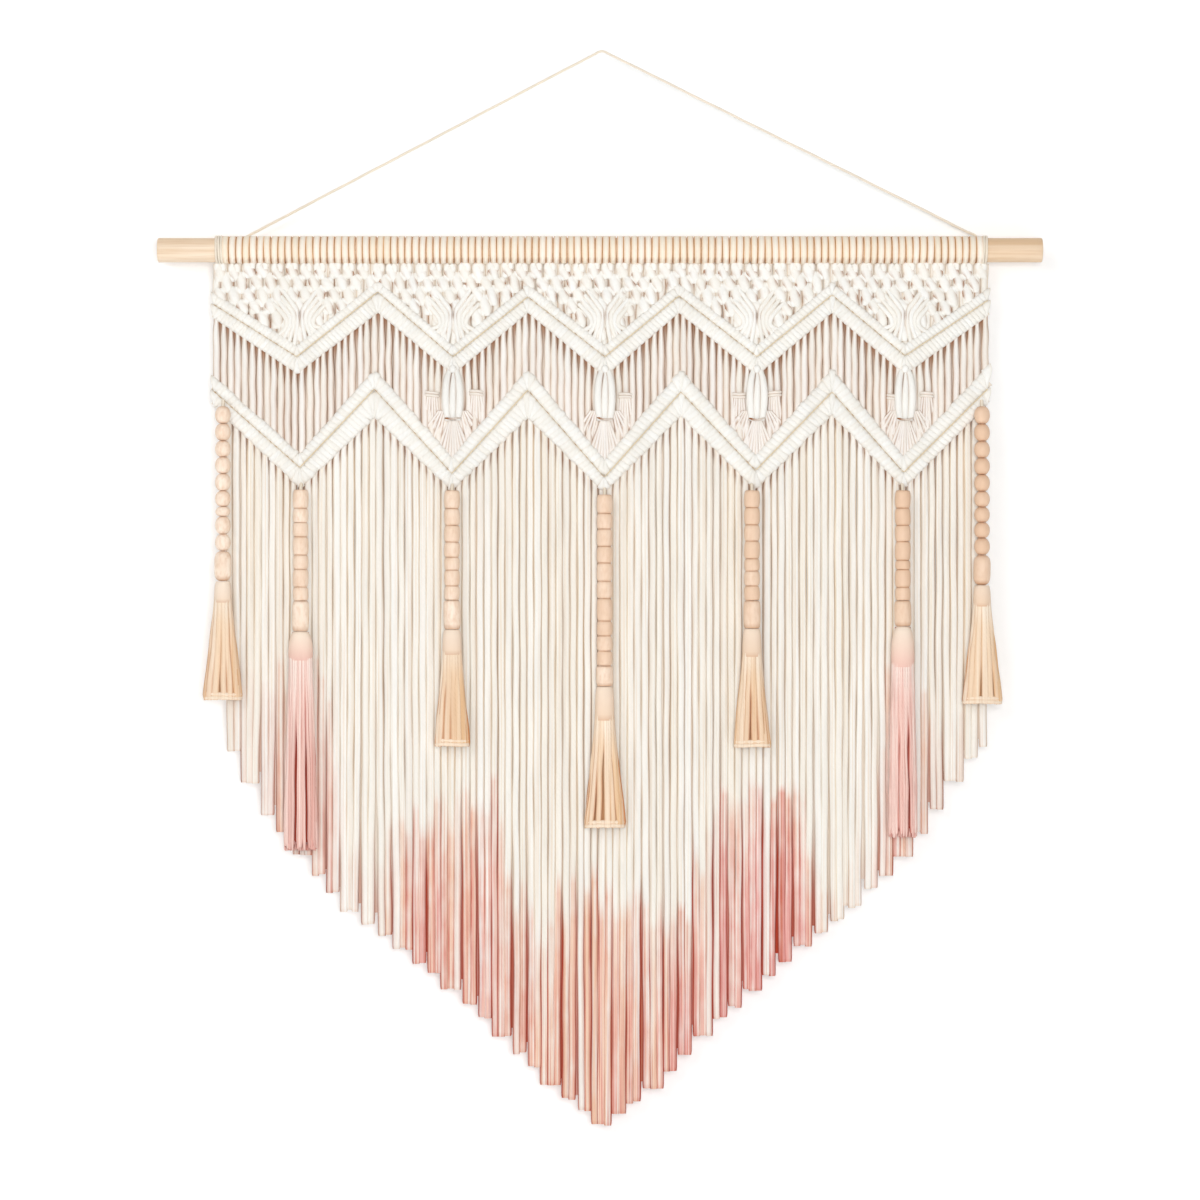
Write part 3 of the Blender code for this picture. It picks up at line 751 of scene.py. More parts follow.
@dataclass
class HangingCord(Part):
    """A thin twisted cord: coils round each end of the rod and one straight run to each side of the nail.

    A coil is given by the x of its outer end, its turns, and 1 or -1 as it grows to the right or left."""

    diameter: float = 2.5
    route: tuple[Triple, ...] = (
        (-384, 16.9, -198.1), (-372, 16.5, -191.9), (-336, 14.8, -173.2), (-280, 12.0, -144.2),
        (-220, 9.4, -113.1), (-160, 6.9, -82.0), (-100, 4.3, -50.9), (-50, 2.1, -25.0), (-20, 0.9, -9.5),
        (-7, 0.3, -2.8), (-3.2, 0.1, -0.8), (0, 0, 0), (3.1, 0.1, -0.7), (7, 0.2, -2.7), (20, 0.6, -9.1),
        (50, 1.5, -23.8), (100, 3.0, -48.4), (160, 4.9, -77.9), (220, 6.7, -107.3), (280, 8.5, -136.8),
        (336, 11.6, -164.3), (372, 15.6, -182.0), (384, 16.6, -187.9),
    )
    turn_up: tuple[Triple, ...] = ((-386.2, 15.8, -200.6),)
    turn_down: tuple[Triple, ...] = ((387.4, 15.9, -194.6), (387.6, 15.6, -199.0))
    left_coil: tuple[float, float, int] = (-394.4, 3.1, 1)
    right_coil: tuple[float, float, int] = (392.9, 2.1, -1)
    coil_radius: float = 13.85
    coil_pitch: float = 2.62

    def coil(self, start_x: float, turns: float, towards: int) -> Array:
        """A helix round the rod that ends behind it, going up.

        x = start + towards * pitch * turn, and the angle grows by one round a turn to end at 0, straight
        behind the axis.

        Args:
            start_x: x of its outer end.
            turns: number of turns.
            towards: 1 for a coil that grows to the right, and -1 to the left.

        Returns:
            Array of points.
        """
        turn = np.linspace(0, turns, round(turns * 20) + 1)
        angle = 2 * math.pi * (turn - turns)
        radius = self.coil_radius + 1.4 * smoothstep(turns - 0.35, turns, turn)
        x = start_x + towards * self.coil_pitch * turn
        return points(x, radius * np.cos(angle), ROD_AXIS_Z + radius * np.sin(angle))

    def build(self) -> None:
        left, right = self.coil(*self.left_coil), self.coil(*self.right_coil)[::-1]
        run = smooth_path(np.concatenate([left[-1:], self.turn_up, self.route, self.turn_down, right[:1]]), 6)
        line = np.concatenate([left, run[1:-1], right])
        twisted = Section(sides=10, lobes=3, lobe_depth=0.12, lobe_pitch=5.0, groove=0.25)
        radius = np.full(len(line), self.diameter / 2)
        radius[[0, -1]] *= 0.6
        patch = sweep(line[None], radius, radius, (0.3, 1.0, 0.2), twisted, tone=0.3)
        solids = ["hanging_cord", "cord_coil_left", "cord_coil_right"]
        piece = self.dress("hanging_cord_twine", [patch], [Finish.TWINE], solids)


@dataclass
class Rod(Part):
    """The round pine rod, its ends cut square with the edge just broken."""

    left: float = -453.0
    right: float = 449.0
    bevel: float = 1.2
    waviness: float = 0.12
    sides: int = 64

    def build(self) -> None:
        """A turned bar with a little waviness and end-grain faces."""
        run = np.linspace(self.left + self.bevel, self.right - self.bevel, 90)
        x = np.concatenate([[self.left, self.left + 0.35], run, [self.right - 0.35, self.right]])
        radius = ROD_RADIUS - self.waviness + self.waviness * np.sin(x / 61.0) * np.sin(x / 23.0)
        radius[[0, 1, -2, -1]] = ROD_RADIUS - np.array([self.bevel, 0.5, 0.5, self.bevel])
        rise = np.sin(around(self.sides))
        # Painted light: a warmer, yellower band along the upper side, where the light falls on the rod.
        lit = smoothstep(0.25, 0.45, rise) * smoothstep(1.0, 0.75, rise)
        tone = (0.15 + 0.35 * smoothstep(-385.0, 385.0, x))[None, :, None] + 0.4 * lit
        smooth = Section(sides=self.sides, groove=0.0)
        line = points(x, 0.0, ROD_AXIS_Z)[None]
        bar = sweep(line, radius, radius, (0.0, 1.0, 0.0), smooth, cap=1, tone=tone)
        self.dress("wood_rod", [bar], [Finish.PINE, Finish.END_GRAIN], ["rod"])


# ---------------------------------------------------------------------------------------- the macrame

@dataclass
class Heading(Part):
    """The row of lark's heads on the rod: two turns of cord side by side for each pair of cords."""

    left: float = -387.3
    right: float = 388.3
    half_depth: float = 0.95
    steps: int = 22
    foot_angle: float = 4.12

    def build(self) -> None:
        """Closed oval rings round the rod, leaning a little, with painted shade in the gaps at their feet."""
        pitch = (self.right - self.left) / CORDS
        centre = self.left + (np.arange(CORDS) + 0.5) * pitch + self.rng.uniform(-0.28, 0.28, CORDS)
        angle = around(self.steps)
        radius = ROD_RADIUS + self.half_depth
        x = centre[:, None] + self.column(-0.35, 0.35, CORDS) * np.sin(angle)
        lines = points(x, radius * np.cos(angle), ROD_AXIS_Z + radius * np.sin(angle))
        flat = Section(sides=12, square=0.5, groove=1.0, groove_shade_power=2.3, deep_shade_power=2.0)
        half = pitch * self.column(0.44, 0.5, CORDS)
        # Painted shade: dark dots at the rings' feet, where they tuck under the rod.
        rings = sweep(
            lines, half, self.half_depth, section=flat, closed=True, tone=self.column(0.2, 1.0, CORDS),
            pit=1.3 * hump(angle, self.foot_angle, 0.2),
        )
        self.dress("heading_wraps", [rings], [Finish.WRAP], ["macrame"], Finish.IVORY)


@dataclass
class KnottedNet(Part):
    """The net between the rod and the upper band: rows of small knots that change partners, over a close
    layer of cords, and at each valley of the band a bundle that draws in and spreads again."""

    top: float = -225.0
    row: float = 12.0
    rows: int = 7
    knot_sides: int = 10
    knot_reach: float = 3.2
    knot_drop: float = 8.0
    valleys: tuple[float, ...] = (-308, -152, 3, 158, 309)
    valley_z: float = -268.0
    valley_pull: float = 0.35

    def knots(self) -> list[Patch]:
        """In each knot two thick turns cross; in the first row a round-topped loop lies over them.

        The turns of a knot are centre +- reach * (2s - 1) / upright sideways and drop * upright * (1 - 2s)
        up, for s from 0 to 1, where upright is a random number about 1.

        Returns:
            The turns and the loops.
        """
        row, pair = np.indices((self.rows, CORDS // 2))
        x = PANEL_LEFT + (pair + 0.5 + 0.5 * (row % 2)) * 2 * CORD_PITCH
        z = self.top - row * self.row
        shown = (x < PANEL_RIGHT - 0.6 * CORD_PITCH) & (z > UPPER_BAND.edge(TOP_EDGE, x) + 1.0)
        first = row[shown] == 0
        count = len(first)
        x = x[shown] + self.rng.uniform(-0.9, 0.9, count)
        z = z[shown] + self.rng.uniform(-1.8, 1.8, count)
        for valley in self.valleys:
            x = x - self.valley_pull * (x - valley) * hump(x, valley, 17.0) * hump(z, self.valley_z, 15.0)
        x, z = x[:, None], z[:, None]
        share = np.linspace(0, 1, 9)
        bulge = np.sin(math.pi * share)
        upright = self.column(0.85, 1.35, count)
        turns, widths = [], []
        for hand, forward in ((1, 1.7), (-1, 0.9)):
            across = x + hand * self.knot_reach * (2 * share - 1) / upright
            height = z + self.knot_drop * upright * (1 - 2 * share)
            turns.append(points(across, -1.3 - forward * bulge, height))
            widths.append(self.column(4.7, 5.6, count) * (0.5 + 0.5 * np.sqrt(bulge)))
        rounded = Section(sides=self.knot_sides, groove=0.40, groove_shade_power=5.0, front_deep_shade=1.0)
        tone = self.column(0, 0.8, 2 * count)
        # Painted shade: dark slits along one side of some turns, where the gaps between knots fall in shade.
        slit = 0.0
        for hand in (-1, 1):
            strength = self.column(0, 1.15, 2 * count) ** 2
            along = strength * hump(share, self.column(0.3, 0.8, 2 * count), 0.22)
            edge = np.clip(hand * np.cos(around(self.knot_sides)), 0, 1) ** 2.8
            slit = slit + 1.2 * along[..., None] * edge
        lines = np.concatenate(turns)
        crossing = sweep(lines, np.concatenate(widths), 1.7, section=rounded, tone=tone, pit=slit)
        turn = np.linspace(-0.3 * math.pi, 1.3 * math.pi, 13)
        loop = points(x[first] + 3.5 * np.cos(turn), -2.8, z[first] + 4.4 + 4.0 * np.sin(turn))
        return [crossing, sweep(loop, 2.9, 1.5, section=rounded, tone=0.3)]

    def layer(self) -> Patch:
        """The close layer of cords behind the knots, with painted shade at a few short slits.

        Returns:
            The cords.
        """
        share = np.linspace(0, 1, 26)
        z = hang(self.top + 8.0, UPPER_BAND.edge(TOP_EDGE, CORD_X) - 5.0, share)
        place = self.rng.uniform(-300, -235, (CORDS, 2, 1))
        dark = hump(z[:, None], place, 7.0).max(axis=1)
        x = CORD_X[:, None] + 0.6 * self.drift(z, 50.0)
        y = -0.2 + 0.4 * alternate(CORDS)
        tight = Section(sides=9, groove=0.6, groove_shade_power=3.0, front_deep_shade=0.15)
        return sweep(points(x, y, z), 3.8, 1.8, section=tight, tone=self.column(0.3, 1.0, CORDS), pit=dark)

    def bundles(self) -> Patch:
        """At each valley, strands that run in from both sides, side by side down the middle, and out again.

        Returns:
            The strands.
        """
        lines = []
        for valley, hand, strand in ((v, h, s) for v in self.valleys for h in (-1, 1) for s in range(4)):
            reach = 3.5 * strand
            foot = valley + hand * (6.0 + 5.4 * strand)
            end = UPPER_BAND.edge(TOP_EDGE, foot) - 3.0
            path = [
                (valley + hand * (17.5 + 0.9 * reach), -2.6, -244.0 - 1.3 * reach),
                (valley + hand * (10.0 + 0.95 * reach), -4.0, -254.5 - reach),
                (valley + hand * (3.0 + reach), -4.4, -265.5 - 0.9 * reach),
                (valley + hand * (2.5 + 1.05 * reach), -4.2, -275.0 - 0.4 * reach),
                (foot, -3.0, end),
            ]
            lines.append(smooth_path(np.array(path), 4))
        lines = np.array(lines)
        share = np.linspace(0, 1, lines.shape[1])
        # Some strands narrow to open slits, which also get painted deep shade.
        slit = (np.arange(len(lines)) % 4 == 0)[:, None] * hump(share, 0.62, 0.12)
        width = 2.15 + 0.5 * np.sin(math.pi * share) - 0.6 * slit
        rounded = Section(groove=0.45)
        tone = self.column(0, 0.8, len(lines))
        return sweep(lines, width, 1.5, section=rounded, tone=tone, pit=0.9 * slit)

    def build(self) -> None:
        """Knots, layer and bundles as one piece."""
        self.dress("knotted_net", [*self.knots(), self.layer(), self.bundles()], [Finish.IVORY], ["macrame"])


@dataclass
class KnotBand(Part):
    """A zigzag band: two rows of double hitches round a holding cord, and a fine seam between the rows."""

    name: str
    band: Band
    half_depth: float
    seam_radius: float
    ragged: float
    forward: float = 1.4
    lean: float = 0.8
    turn_width: float = 0.60
    steps: int = 12
    hitches: int = 2 * CORDS

    def row(self, upper: int, lower: int) -> Patch:
        """Turns of cord side by side round a slanted holding cord.

        A turn joins a point T of the edge above to a point B of the edge below, square to the band, or
        upright near a turning point: (T + B)/2 + cos(a) * (T - B)/2 - front * depth * sin(a).

        Args:
            upper: the edge above the row.
            lower: the edge below it.

        Returns:
            The row.
        """
        x = PANEL_LEFT + (np.arange(self.hitches) + 0.5) * (PANEL_RIGHT - PANEL_LEFT) / self.hitches
        corners = np.array(self.band.rows)[1:-1, 0]
        room = np.abs(x[:, None] - corners).min(axis=1)
        slope = self.band.slope(x, 0.5)
        height = self.band.edge(upper, x) - self.band.edge(lower, x)
        square = 0.5 * height * np.abs(slope) / (1 + slope**2) + self.lean
        inside = np.minimum(x - PANEL_LEFT, PANEL_RIGHT - x) - 1.5
        shift = np.clip(np.sign(slope) * np.minimum(square, 0.8 * room), -inside, inside)
        above = points(x - shift, 0.0, self.band.edge(upper, x - shift))
        under = points(x + shift, 0.0, self.band.edge(lower, x + shift))
        below = lower == BOTTOM_EDGE
        under[:, 2] -= self.ragged * below * self.rng.uniform(-0.4, 1.0, self.hitches)
        above[:, 2] += self.ragged * (not below) * self.rng.uniform(-0.4, 1.0, self.hitches)
        half = (above - under) / 2
        half = half - 0.7 * unit(half)
        angle = around(self.steps, 0.5)
        up, out = signed_power(np.cos(angle), 0.7), signed_power(np.sin(angle), 0.7)
        lines = ((above + under) / 2)[:, None] + half[:, None] * up[None, :, None]
        lines[..., 1] = -self.forward - self.half_depth * out
        lines = lines + self.rng.uniform(-0.12, 0.12, (self.hitches, 1, 3))
        side = np.gradient(lines, axis=0)
        width = np.linalg.norm(side, axis=2) * self.turn_width
        rounded = Section(sides=7, square=0.7, groove=0.19, groove_shade_power=3.0)
        # Painted shade at the ends of each turn, along the band's edges and its seam.
        edge = 0.14 * np.abs(np.cos(angle)) ** 8
        tone = self.column(0, 0.7, self.hitches)
        return sweep(lines, width, 1.1, side, rounded, closed=True, tone=tone, shade=edge)

    def core(self, upper: int, lower: int) -> Patch:
        """The holding cord down the middle of a row, which its turns go round.

        Args:
            upper: the edge above the row.
            lower: the edge below it.

        Returns:
            The cord.
        """
        x = np.linspace(PANEL_LEFT + 2.2, PANEL_RIGHT - 2.2, 240)
        height = self.band.edge(upper, x) - self.band.edge(lower, x)
        half = 0.5 * height / np.sqrt(1 + self.band.slope(x) ** 2) - 1.0
        line = points(x, -self.forward, self.band.edge(lower, x) + height / 2)[None]
        soft = Section(sides=12, square=0.8, groove=0.0)
        # The holding cord is painted in shade all over.
        return sweep(line, half, self.half_depth - 0.9, (0.0, 0.0, 1.0), soft, tone=0.6, shade=0.35)

    def seam(self) -> Patch:
        """The fine cord along the seam, which sinks between the rows where the band falls to the right, with
        painted shade in dark dots there.

        Returns:
            The cord.
        """
        x = np.linspace(PANEL_LEFT + 1, PANEL_RIGHT - 1, 420)
        sink = smoothstep(-0.3, 0.3, -self.band.slope(x))
        beat = np.sin(x / 2.33) * 0.35 * (0.4 + sink)
        y = -(self.forward + self.half_depth + 0.75) + 0.55 * sink + beat
        line = points(x, y, self.band.edge(SEAM, x))[None]
        # Painted shade: dark dots along the seam where it sinks.
        dots = sink * np.clip(np.sin(x / 0.9) + 0.6 * np.sin(x / 2.33), 0, 1)
        radius = self.seam_radius * (1 - 0.65 * sink * (1 - dots))
        fine = Section(sides=6, groove=0.0, front_deep_shade=1.0)
        return sweep(line, radius, radius, (0.0, 1.0, 0.0), fine, finish=1, cap=1, tone=0.5, pit=0.6 * dots)

    def build(self) -> None:
        """Both rows round their holding cords, and the seam."""
        edges = (TOP_EDGE, SEAM), (SEAM, BOTTOM_EDGE)
        patches = [*(self.row(*pair) for pair in edges), *(self.core(*pair) for pair in edges), self.seam()]
        self.dress(self.name, patches, [Finish.IVORY, Finish.SEAM], ["macrame"])


@dataclass
class OpenCords(Part):
    """The cords between the bands, and over them bobbles of three loops with their fans, and side ties."""

    loops: tuple[float, ...] = (-152, 3, 158, 309)
    outer_loop: Rows = (
        (2.8, 2.0, -324, 2.6), (5.8, 6.2, -336, 3.7), (7.0, 7.6, -350, 4.1), (6.7, 6.8, -363, 4.0),
        (4.9, 4.2, -376.5, 3.1),
    )
    middle_loop: Rows = (
        (0.5, 3.4, -329, 1.8), (0.4, 6.4, -339, 3.2), (0.0, 7.4, -351, 3.8), (-0.2, 6.8, -363, 3.8),
        (0.0, 4.8, -376, 3.0),
    )
    loop_z: float = -352.0
    loop_push: float = 2.0
    tie_z: float = -374.0
    knob_z: float = -324.5
    knob_radius: float = 4.0
    knob_half_height: float = 4.2
    knob_forward: float = 5.4
    side_ties: Rows = (
        (-173, -350), (-128, -349), (23.5, -352), (140, -351), (175.5, -350), (298, -353), (331, -351),
    )
    half_width: float = 3.9
    half_depth: float = 2.4
    tie_steps: int = 16

    def heights(self, base: Array, share: Array) -> tuple[Array, Array]:
        """Distance below the upper band, and height, of cords at some x.

        Args:
            base: x of each cord.
            share: share of the way down, for each station.

        Returns:
            Both, a row a cord.
        """
        top = UPPER_BAND.edge(BOTTOM_EDGE, base) + 5.0
        z = hang(top, LOWER_BAND.edge(TOP_EDGE, base) - 5.0, share)
        return top[:, None] - z, z

    def cords(self) -> Patch:
        """The open cords, narrow where they leave the upper band so that drop-shaped gaps show.

        Returns:
            The cords.
        """
        share = np.linspace(0, 1, 20)
        below, z = self.heights(CORD_X, share)
        x = CORD_X[:, None] + self.column(-0.75, 0.75, CORDS)
        x = x + 0.7 * self.drift(below, 90.0, 37.0) * np.sin(math.pi * share)
        y = -0.6 + 0.7 * self.drift(below, 60.0)
        for loop in self.loops:
            aside = self.loop_push * np.tanh((x - loop) / 6.0)
            x = x + aside * hump(x, loop, 20.0) * hump(z, self.loop_z, 26.0)
        width = self.half_width * (1 - 0.27 * hump(below, 6.0, 11.0)) * self.column(0.92, 1.03, CORDS)
        rounded = Section(sides=9, groove=0.7, groove_shade_power=4.0)
        tone = self.column(0.1, 1.0, CORDS)
        # Painted shade in random strength along each cord's sides, for the gap lines between cords.
        side_shade = 0.8 * self.rng.uniform(0, 1, (2, CORDS, 1)) ** 2
        # Painted deep shade in the drop-shaped gaps just under the upper band, and faintly everywhere.
        return sweep(
            points(x, y, z), width, self.half_depth, section=rounded, tone=tone, rose=0.4,
            dye=0.11 * smoothstep(0, 60, below), pit=0.9 * hump(below, 0.0, self.column(9, 25, CORDS)) + 0.08,
            pit_left=side_shade[0], pit_right=side_shade[1],
        )

    def backing(self) -> Patch:
        """The cords behind, their fronts painted with deep shade, seen through the gaps between those in
        front.

        Returns:
            The cords.
        """
        base = PANEL_LEFT + np.arange(1, CORDS) * CORD_PITCH
        below, z = self.heights(base, np.linspace(0, 1, 12))
        lines = points(base[:, None] + 0.5 * self.drift(z, 80.0), 1.7, z)
        hidden = Section(groove=0.6, front_deep_shade=1.0)
        pit = 0.2 + 0.7 * hump(below, 0.0, 20.0)
        return sweep(lines, 3.2, 1.7, section=hidden, tone=0.6, shade=0.2, pit=pit)

    def bobbles(self) -> list[Patch]:
        """Two smooth loops with another between them at each valley, a tie round their foot, a knot above.

        Returns:
            The loops, the knots and the ties.
        """
        outer, middle = (smooth_path(np.array(path), 5) for path in (self.outer_loop, self.middle_loop))
        paths = np.array([
            (loop + hand * path[:, 0], -path[:, 1], path[:, 2], path[:, 3])
            for loop in self.loops for hand, path in ((-1, outer), (1, middle), (1, outer))
        ])
        rounded = Section(sides=16, groove=0.30, groove_shade_power=8.0, deep_shade_power=7.0)
        right = np.tile([[1], [0.8], [0]], (len(self.loops), 1))
        left = np.tile([[0], [0.8], [1]], (len(self.loops), 1))
        # Painted shade in the crevices between the loops, deepest at the top.
        deep = 0.95 - 0.65 * smoothstep(0.1, 0.8, np.linspace(0, 1, len(outer)))
        x, y, z, radius = np.moveaxis(paths, 1, 0)
        loops = sweep(
            points(x, y, z), radius * 0.98, radius, section=rounded, tone=0.3, pit_right=right * deep,
            pit_left=left * deep,
        )
        drop = np.cos(math.pi * np.linspace(0, 1, 8))
        height = self.knob_z + self.knob_half_height * drop
        line = points(np.array(self.loops)[:, None], -self.knob_forward, height)
        size = self.knob_radius * np.sqrt(1.02 - drop**2)
        knobs = sweep(line, size, 0.8 * size, section=Section(sides=14, groove=0.3), tone=0.1)
        feet = [(x, self.tie_z - 2.0) for x in self.loops]
        # Painted shade on the tie, darkest at its sides.
        dark = 0.3 + 0.9 * np.cos(around(self.tie_steps) + 0.5) ** 4
        ties = self.ties(feet, size=(7.8, 5.0, 4.6), radius=1.0, turns=1, look=(0.0, 0.5, 1.6), dark=dark)
        return [loops, knobs, ties]

    def ties(
        self, places: list[tuple[float, float]], size: Triple, radius: float, turns: int, look: Triple,
        dark: float | Array,
    ) -> Patch:
        """Level turns of cord round a bundle.

        Args:
            places: x and z of each bundle.
            size: half width and half depth of a turn, and how far its middle is in front of the panel's.
            radius: radius of the cord.
            turns: number of turns at each place.
            look: how pink it is, how far it tilts, and how far its sides rise.
            dark: painted shade on its front and sides, all round or at each point of a turn.

        Returns:
            The ties.
        """
        wide, deep, forward = size
        dye, tilt, lift = look
        angle = around(self.tie_steps)
        lines = []
        for (x, z), turn in ((place, turn) for place in places for turn in range(turns)):
            rise = (turn - (turns - 1) / 2) * 1.9 * radius
            rise = rise + tilt * np.cos(angle + x) + lift * np.cos(angle) ** 2
            lines.append(points(x + wide * np.cos(angle), -forward - deep * np.sin(angle), z + rise))
        soft = Section(groove=0.5, front_deep_shade=1.0)
        values = {"tone": 0.8, "dye": dye, "rose": 0.2, "pit": dark}
        return sweep(np.array(lines), radius, radius, (0.0, 0.0, 1.0), soft, closed=True, **values)

    def fans(self) -> Patch:
        """Below each bobble and side tie, strands that spread to the lower band, some of them leaning out.

        A spot is x, z, the number of strands, their half spread below and above, how far they sink back to
        the panel, and how far they lean.

        Returns:
            The strands.
        """
        share = np.linspace(0, 1, 10)
        lines = []
        spots = [(x, self.tie_z - 3.0, 9, 13.5, 3.8, 2.0, 0.0) for x in self.loops]
        spots += [
            (x + 11.0 * hand, self.tie_z + 7.0, 4, 6.5, 3.0, 4.2, 11.0 * hand)
            for x in self.loops for hand in (-1, 1)
        ]
        spots += [(x, z, 5, 8.5, 4.0, 5.0, 0.0) for x, z in self.side_ties]
        for x, z, count, spread, tight, sink, lean in spots:
            for place in np.linspace(-1, 1, count):
                foot = x + lean + place * spread
                end = LOWER_BAND.edge(TOP_EDGE, foot) - 4.0
                across = lean * share + place * (tight + (spread - tight) * share)
                forward = 4.2 - sink * share - 0.8 * abs(place) + self.rng.uniform(-0.3, 0.3)
                lines.append(points(x + across, -forward, z + (end - z) * share))
        count = len(lines)
        tone = self.column(0, 0.6, count)
        # Painted shade along the strands' sides, for brown gap lines between them.
        side_shade = self.rng.uniform(0.1, 0.9, (2, count, 1)) ** 1.5 * np.sin(math.pi * (0.2 + 0.8 * share))
        return sweep(
            np.array(lines), 1.6 + 0.6 * share, 1.7, section=Section(sides=9, groove=0.6, groove_shade_power=4.0),
            tone=tone, dye=0.11, rose=0.5, pit_left=1.15 * side_shade[0], pit_right=1.15 * side_shade[1],
        )

    def build(self) -> None:
        """Cords, bobbles, fans and ties as one piece."""
        side_ties = self.ties(
            list(self.side_ties), size=(6.4, 3.4, 2.6), radius=1.5, turns=2, look=(0.14, 0.724, 0.0), dark=0.0
        )
        patches = [self.cords(), self.backing(), *self.bobbles(), self.fans(), side_ties]
        self.dress("open_cords", patches, [Finish.IVORY], ["macrame"])


# ----------------------------------------------------------------------------------------- the fringe

@dataclass
class Fringe(Part):
    """The long dyed fringe: cords that hang from the lower band, drawn together in locks with blunt ends.

    The hem's rows are x and height. The dye line's are x, height where the dye starts, strength and rose."""

    left: float = -384.0
    right: float = 391.5
    cords: int = 106
    lock_cords: tuple[int, ...] = (2, 3, 2, 2, 3, 2)
    hem: Rows = (
        (-384, -706), (-362, -742), (-344, -775), (-308, -821), (-264, -873), (-196, -924), (-130, -979),
        (-60, -1048), (2, -1100), (49, -1063), (112, -998), (151, -962), (220, -903), (266, -867),
        (309, -824), (333, -789), (365, -737), (391, -708),
    )
    dye_line: Rows = (
        (-384, -660, 0.20, 0.2), (-330, -640, 0.50, 0.4), (-280, -640, 0.52, 0.5), (-262, -760, 0.30, 0.4),
        (-240, -830, 0.45, 0.4), (-205, -790, 0.72, 0.4), (-170, -750, 0.84, 0.6), (-110, -755, 0.84, 0.6),
        (-92, -860, 0.75, 0.5), (-60, -880, 0.80, 0.3), (-20, -850, 0.95, 0.25), (45, -850, 0.95, 0.3),
        (62, -880, 0.80, 0.5), (90, -845, 0.80, 0.9), (125, -765, 0.88, 1.2), (200, -750, 0.86, 1.1),
        (222, -850, 0.60, 0.5), (240, -850, 0.25, 0.4), (275, -800, 0.30, 0.4), (290, -645, 0.64, 0.6),
        (330, -655, 0.58, 0.5), (350, -700, 0.25, 0.3), (391, -680, 0.15, 0.3),
    )
    half_width: float = 3.75
    half_depth: float = 2.0
    gathers_from: float = 0.45
    steps: int = 56

    def lock_of(self, pitch: float) -> tuple[Array, Array]:
        """The lock that each cord belongs to.

        Args:
            pitch: distance from cord to cord.

        Returns:
            Its number and the x of its middle, one a cord.
        """
        counts = []
        while sum(counts) < self.cords:
            counts.append(min(self.lock_cords[len(counts) % len(self.lock_cords)], self.cords - sum(counts)))
        middles = self.left + (np.cumsum(counts) - np.array(counts) / 2) * pitch
        number = np.repeat(np.arange(len(counts)), counts)
        return number, middles[number]

    def colours(self, root: Array, z: Array) -> dict[str, Array]:
        """How far each point is dyed, how far its dye is rose and not peach, and how far the painted shade in
        its gaps is deep red.

        The dye starts at a height read from the table, uneven from cord to cord, and deepens downwards.

        Args:
            root: x of each cord's root.
            z: heights, a row a cord.

        Returns:
            Dye, rose and the red share of the painted gap shade, each from 0 to 1, of the shape of z.
        """
        table = np.array(self.dye_line)
        start, strength, rose = (np.interp(root, table[:, 0], table[:, k])[:, None] for k in (1, 2, 3))
        count = len(root)
        start = start + np.clip(self.rng.normal(0, 17.0, (count, 1)), -28, 24)
        start = start + 10 * self.drift(z, 140.0, 60.0)
        depth = start - z
        dye = strength * (0.65 + 0.35 * smoothstep(0, 140, depth))
        dye = dye * smoothstep(0, 1, depth / self.column(6, 26, count))
        pale = np.where(self.column(0, 1, count) < 0.12, 0.45, self.column(0.85, 1.2, count))
        dye = dye * (1 + 0.25 * self.drift(z, 85.0, 33.0)) * pale
        rose = rose * (0.5 + 0.5 * smoothstep(0, 120, depth)) + self.column(-0.35, 0.25, count)
        # The painted shade in the gaps turns deep red and stronger where the dye is.
        rust = 1.25 * strength * smoothstep(-30.0, 60.0, depth)
        return {name: np.clip(value, 0, 1) for name, value in (("dye", dye), ("rose", rose), ("rust", rust))}

    def front_cords(self) -> tuple[Patch, Array]:
        """The cords of the locks, with painted shade where one lock meets the next.

        Returns:
            The cords, and for each gap between two locks a row of its x, the x of its foot and the
            height of the shorter lock's end.
        """
        pitch = (self.right - self.left) / self.cords
        root = self.left + (np.arange(self.cords) + 0.5) * pitch
        number, lock = self.lock_of(pitch)
        locks = number.max() + 1
        hem = np.interp(lock, *np.array(self.hem).T)
        end = np.maximum(hem + self.rng.uniform(-1.5, 2.0, locks)[number], hem)
        end = end + self.rng.uniform(0.2, 3.0, self.cords)
        top = LOWER_BAND.edge(BOTTOM_EDGE, root) + 7.0
        share = np.concatenate([np.linspace(0, 0.988, self.steps - 3), [0.993, 0.997, 1.0]])
        z = hang(top, end, share)
        below = top[:, None] - z
        gather = smoothstep(self.gathers_from, 1.0, share)
        away, loose = smoothstep(0, 60, below), smoothstep(0, 30, below)
        lean = self.rng.uniform(-1.8, 1.8, locks)[number]
        foot = lock + lean + (root - lock) * self.rng.uniform(0.80, 0.95, locks)[number]
        x = root[:, None] + (foot - root)[:, None] * gather + 0.75 * self.drift(below, 260.0, 110.0) * away
        y = (self.column(-0.9, 0.9, self.cords) + 0.8 * alternate(self.cords)) * loose * (1 - 0.7 * gather)
        tip = 1 - 0.12 * smoothstep(0.993, 1.0, share) ** 2
        width = self.half_width * tip * self.column(0.90, 1.07, self.cords) * (1 + 0.05 * gather)
        width = width * (1 - 0.06 * hump(below, 12.0, 14.0))
        colours = self.colours(root, z)
        first = np.append(True, np.diff(number) > 0)[:, None]
        final = np.append(np.diff(number) > 0, True)[:, None]
        # Painted shade in random strength along each cord's sides, stronger where dyed.
        side_shade = self.rng.uniform(0.0, 0.92, (2, self.cords, 1)) ** 3 * (0.75 + colours["rust"])
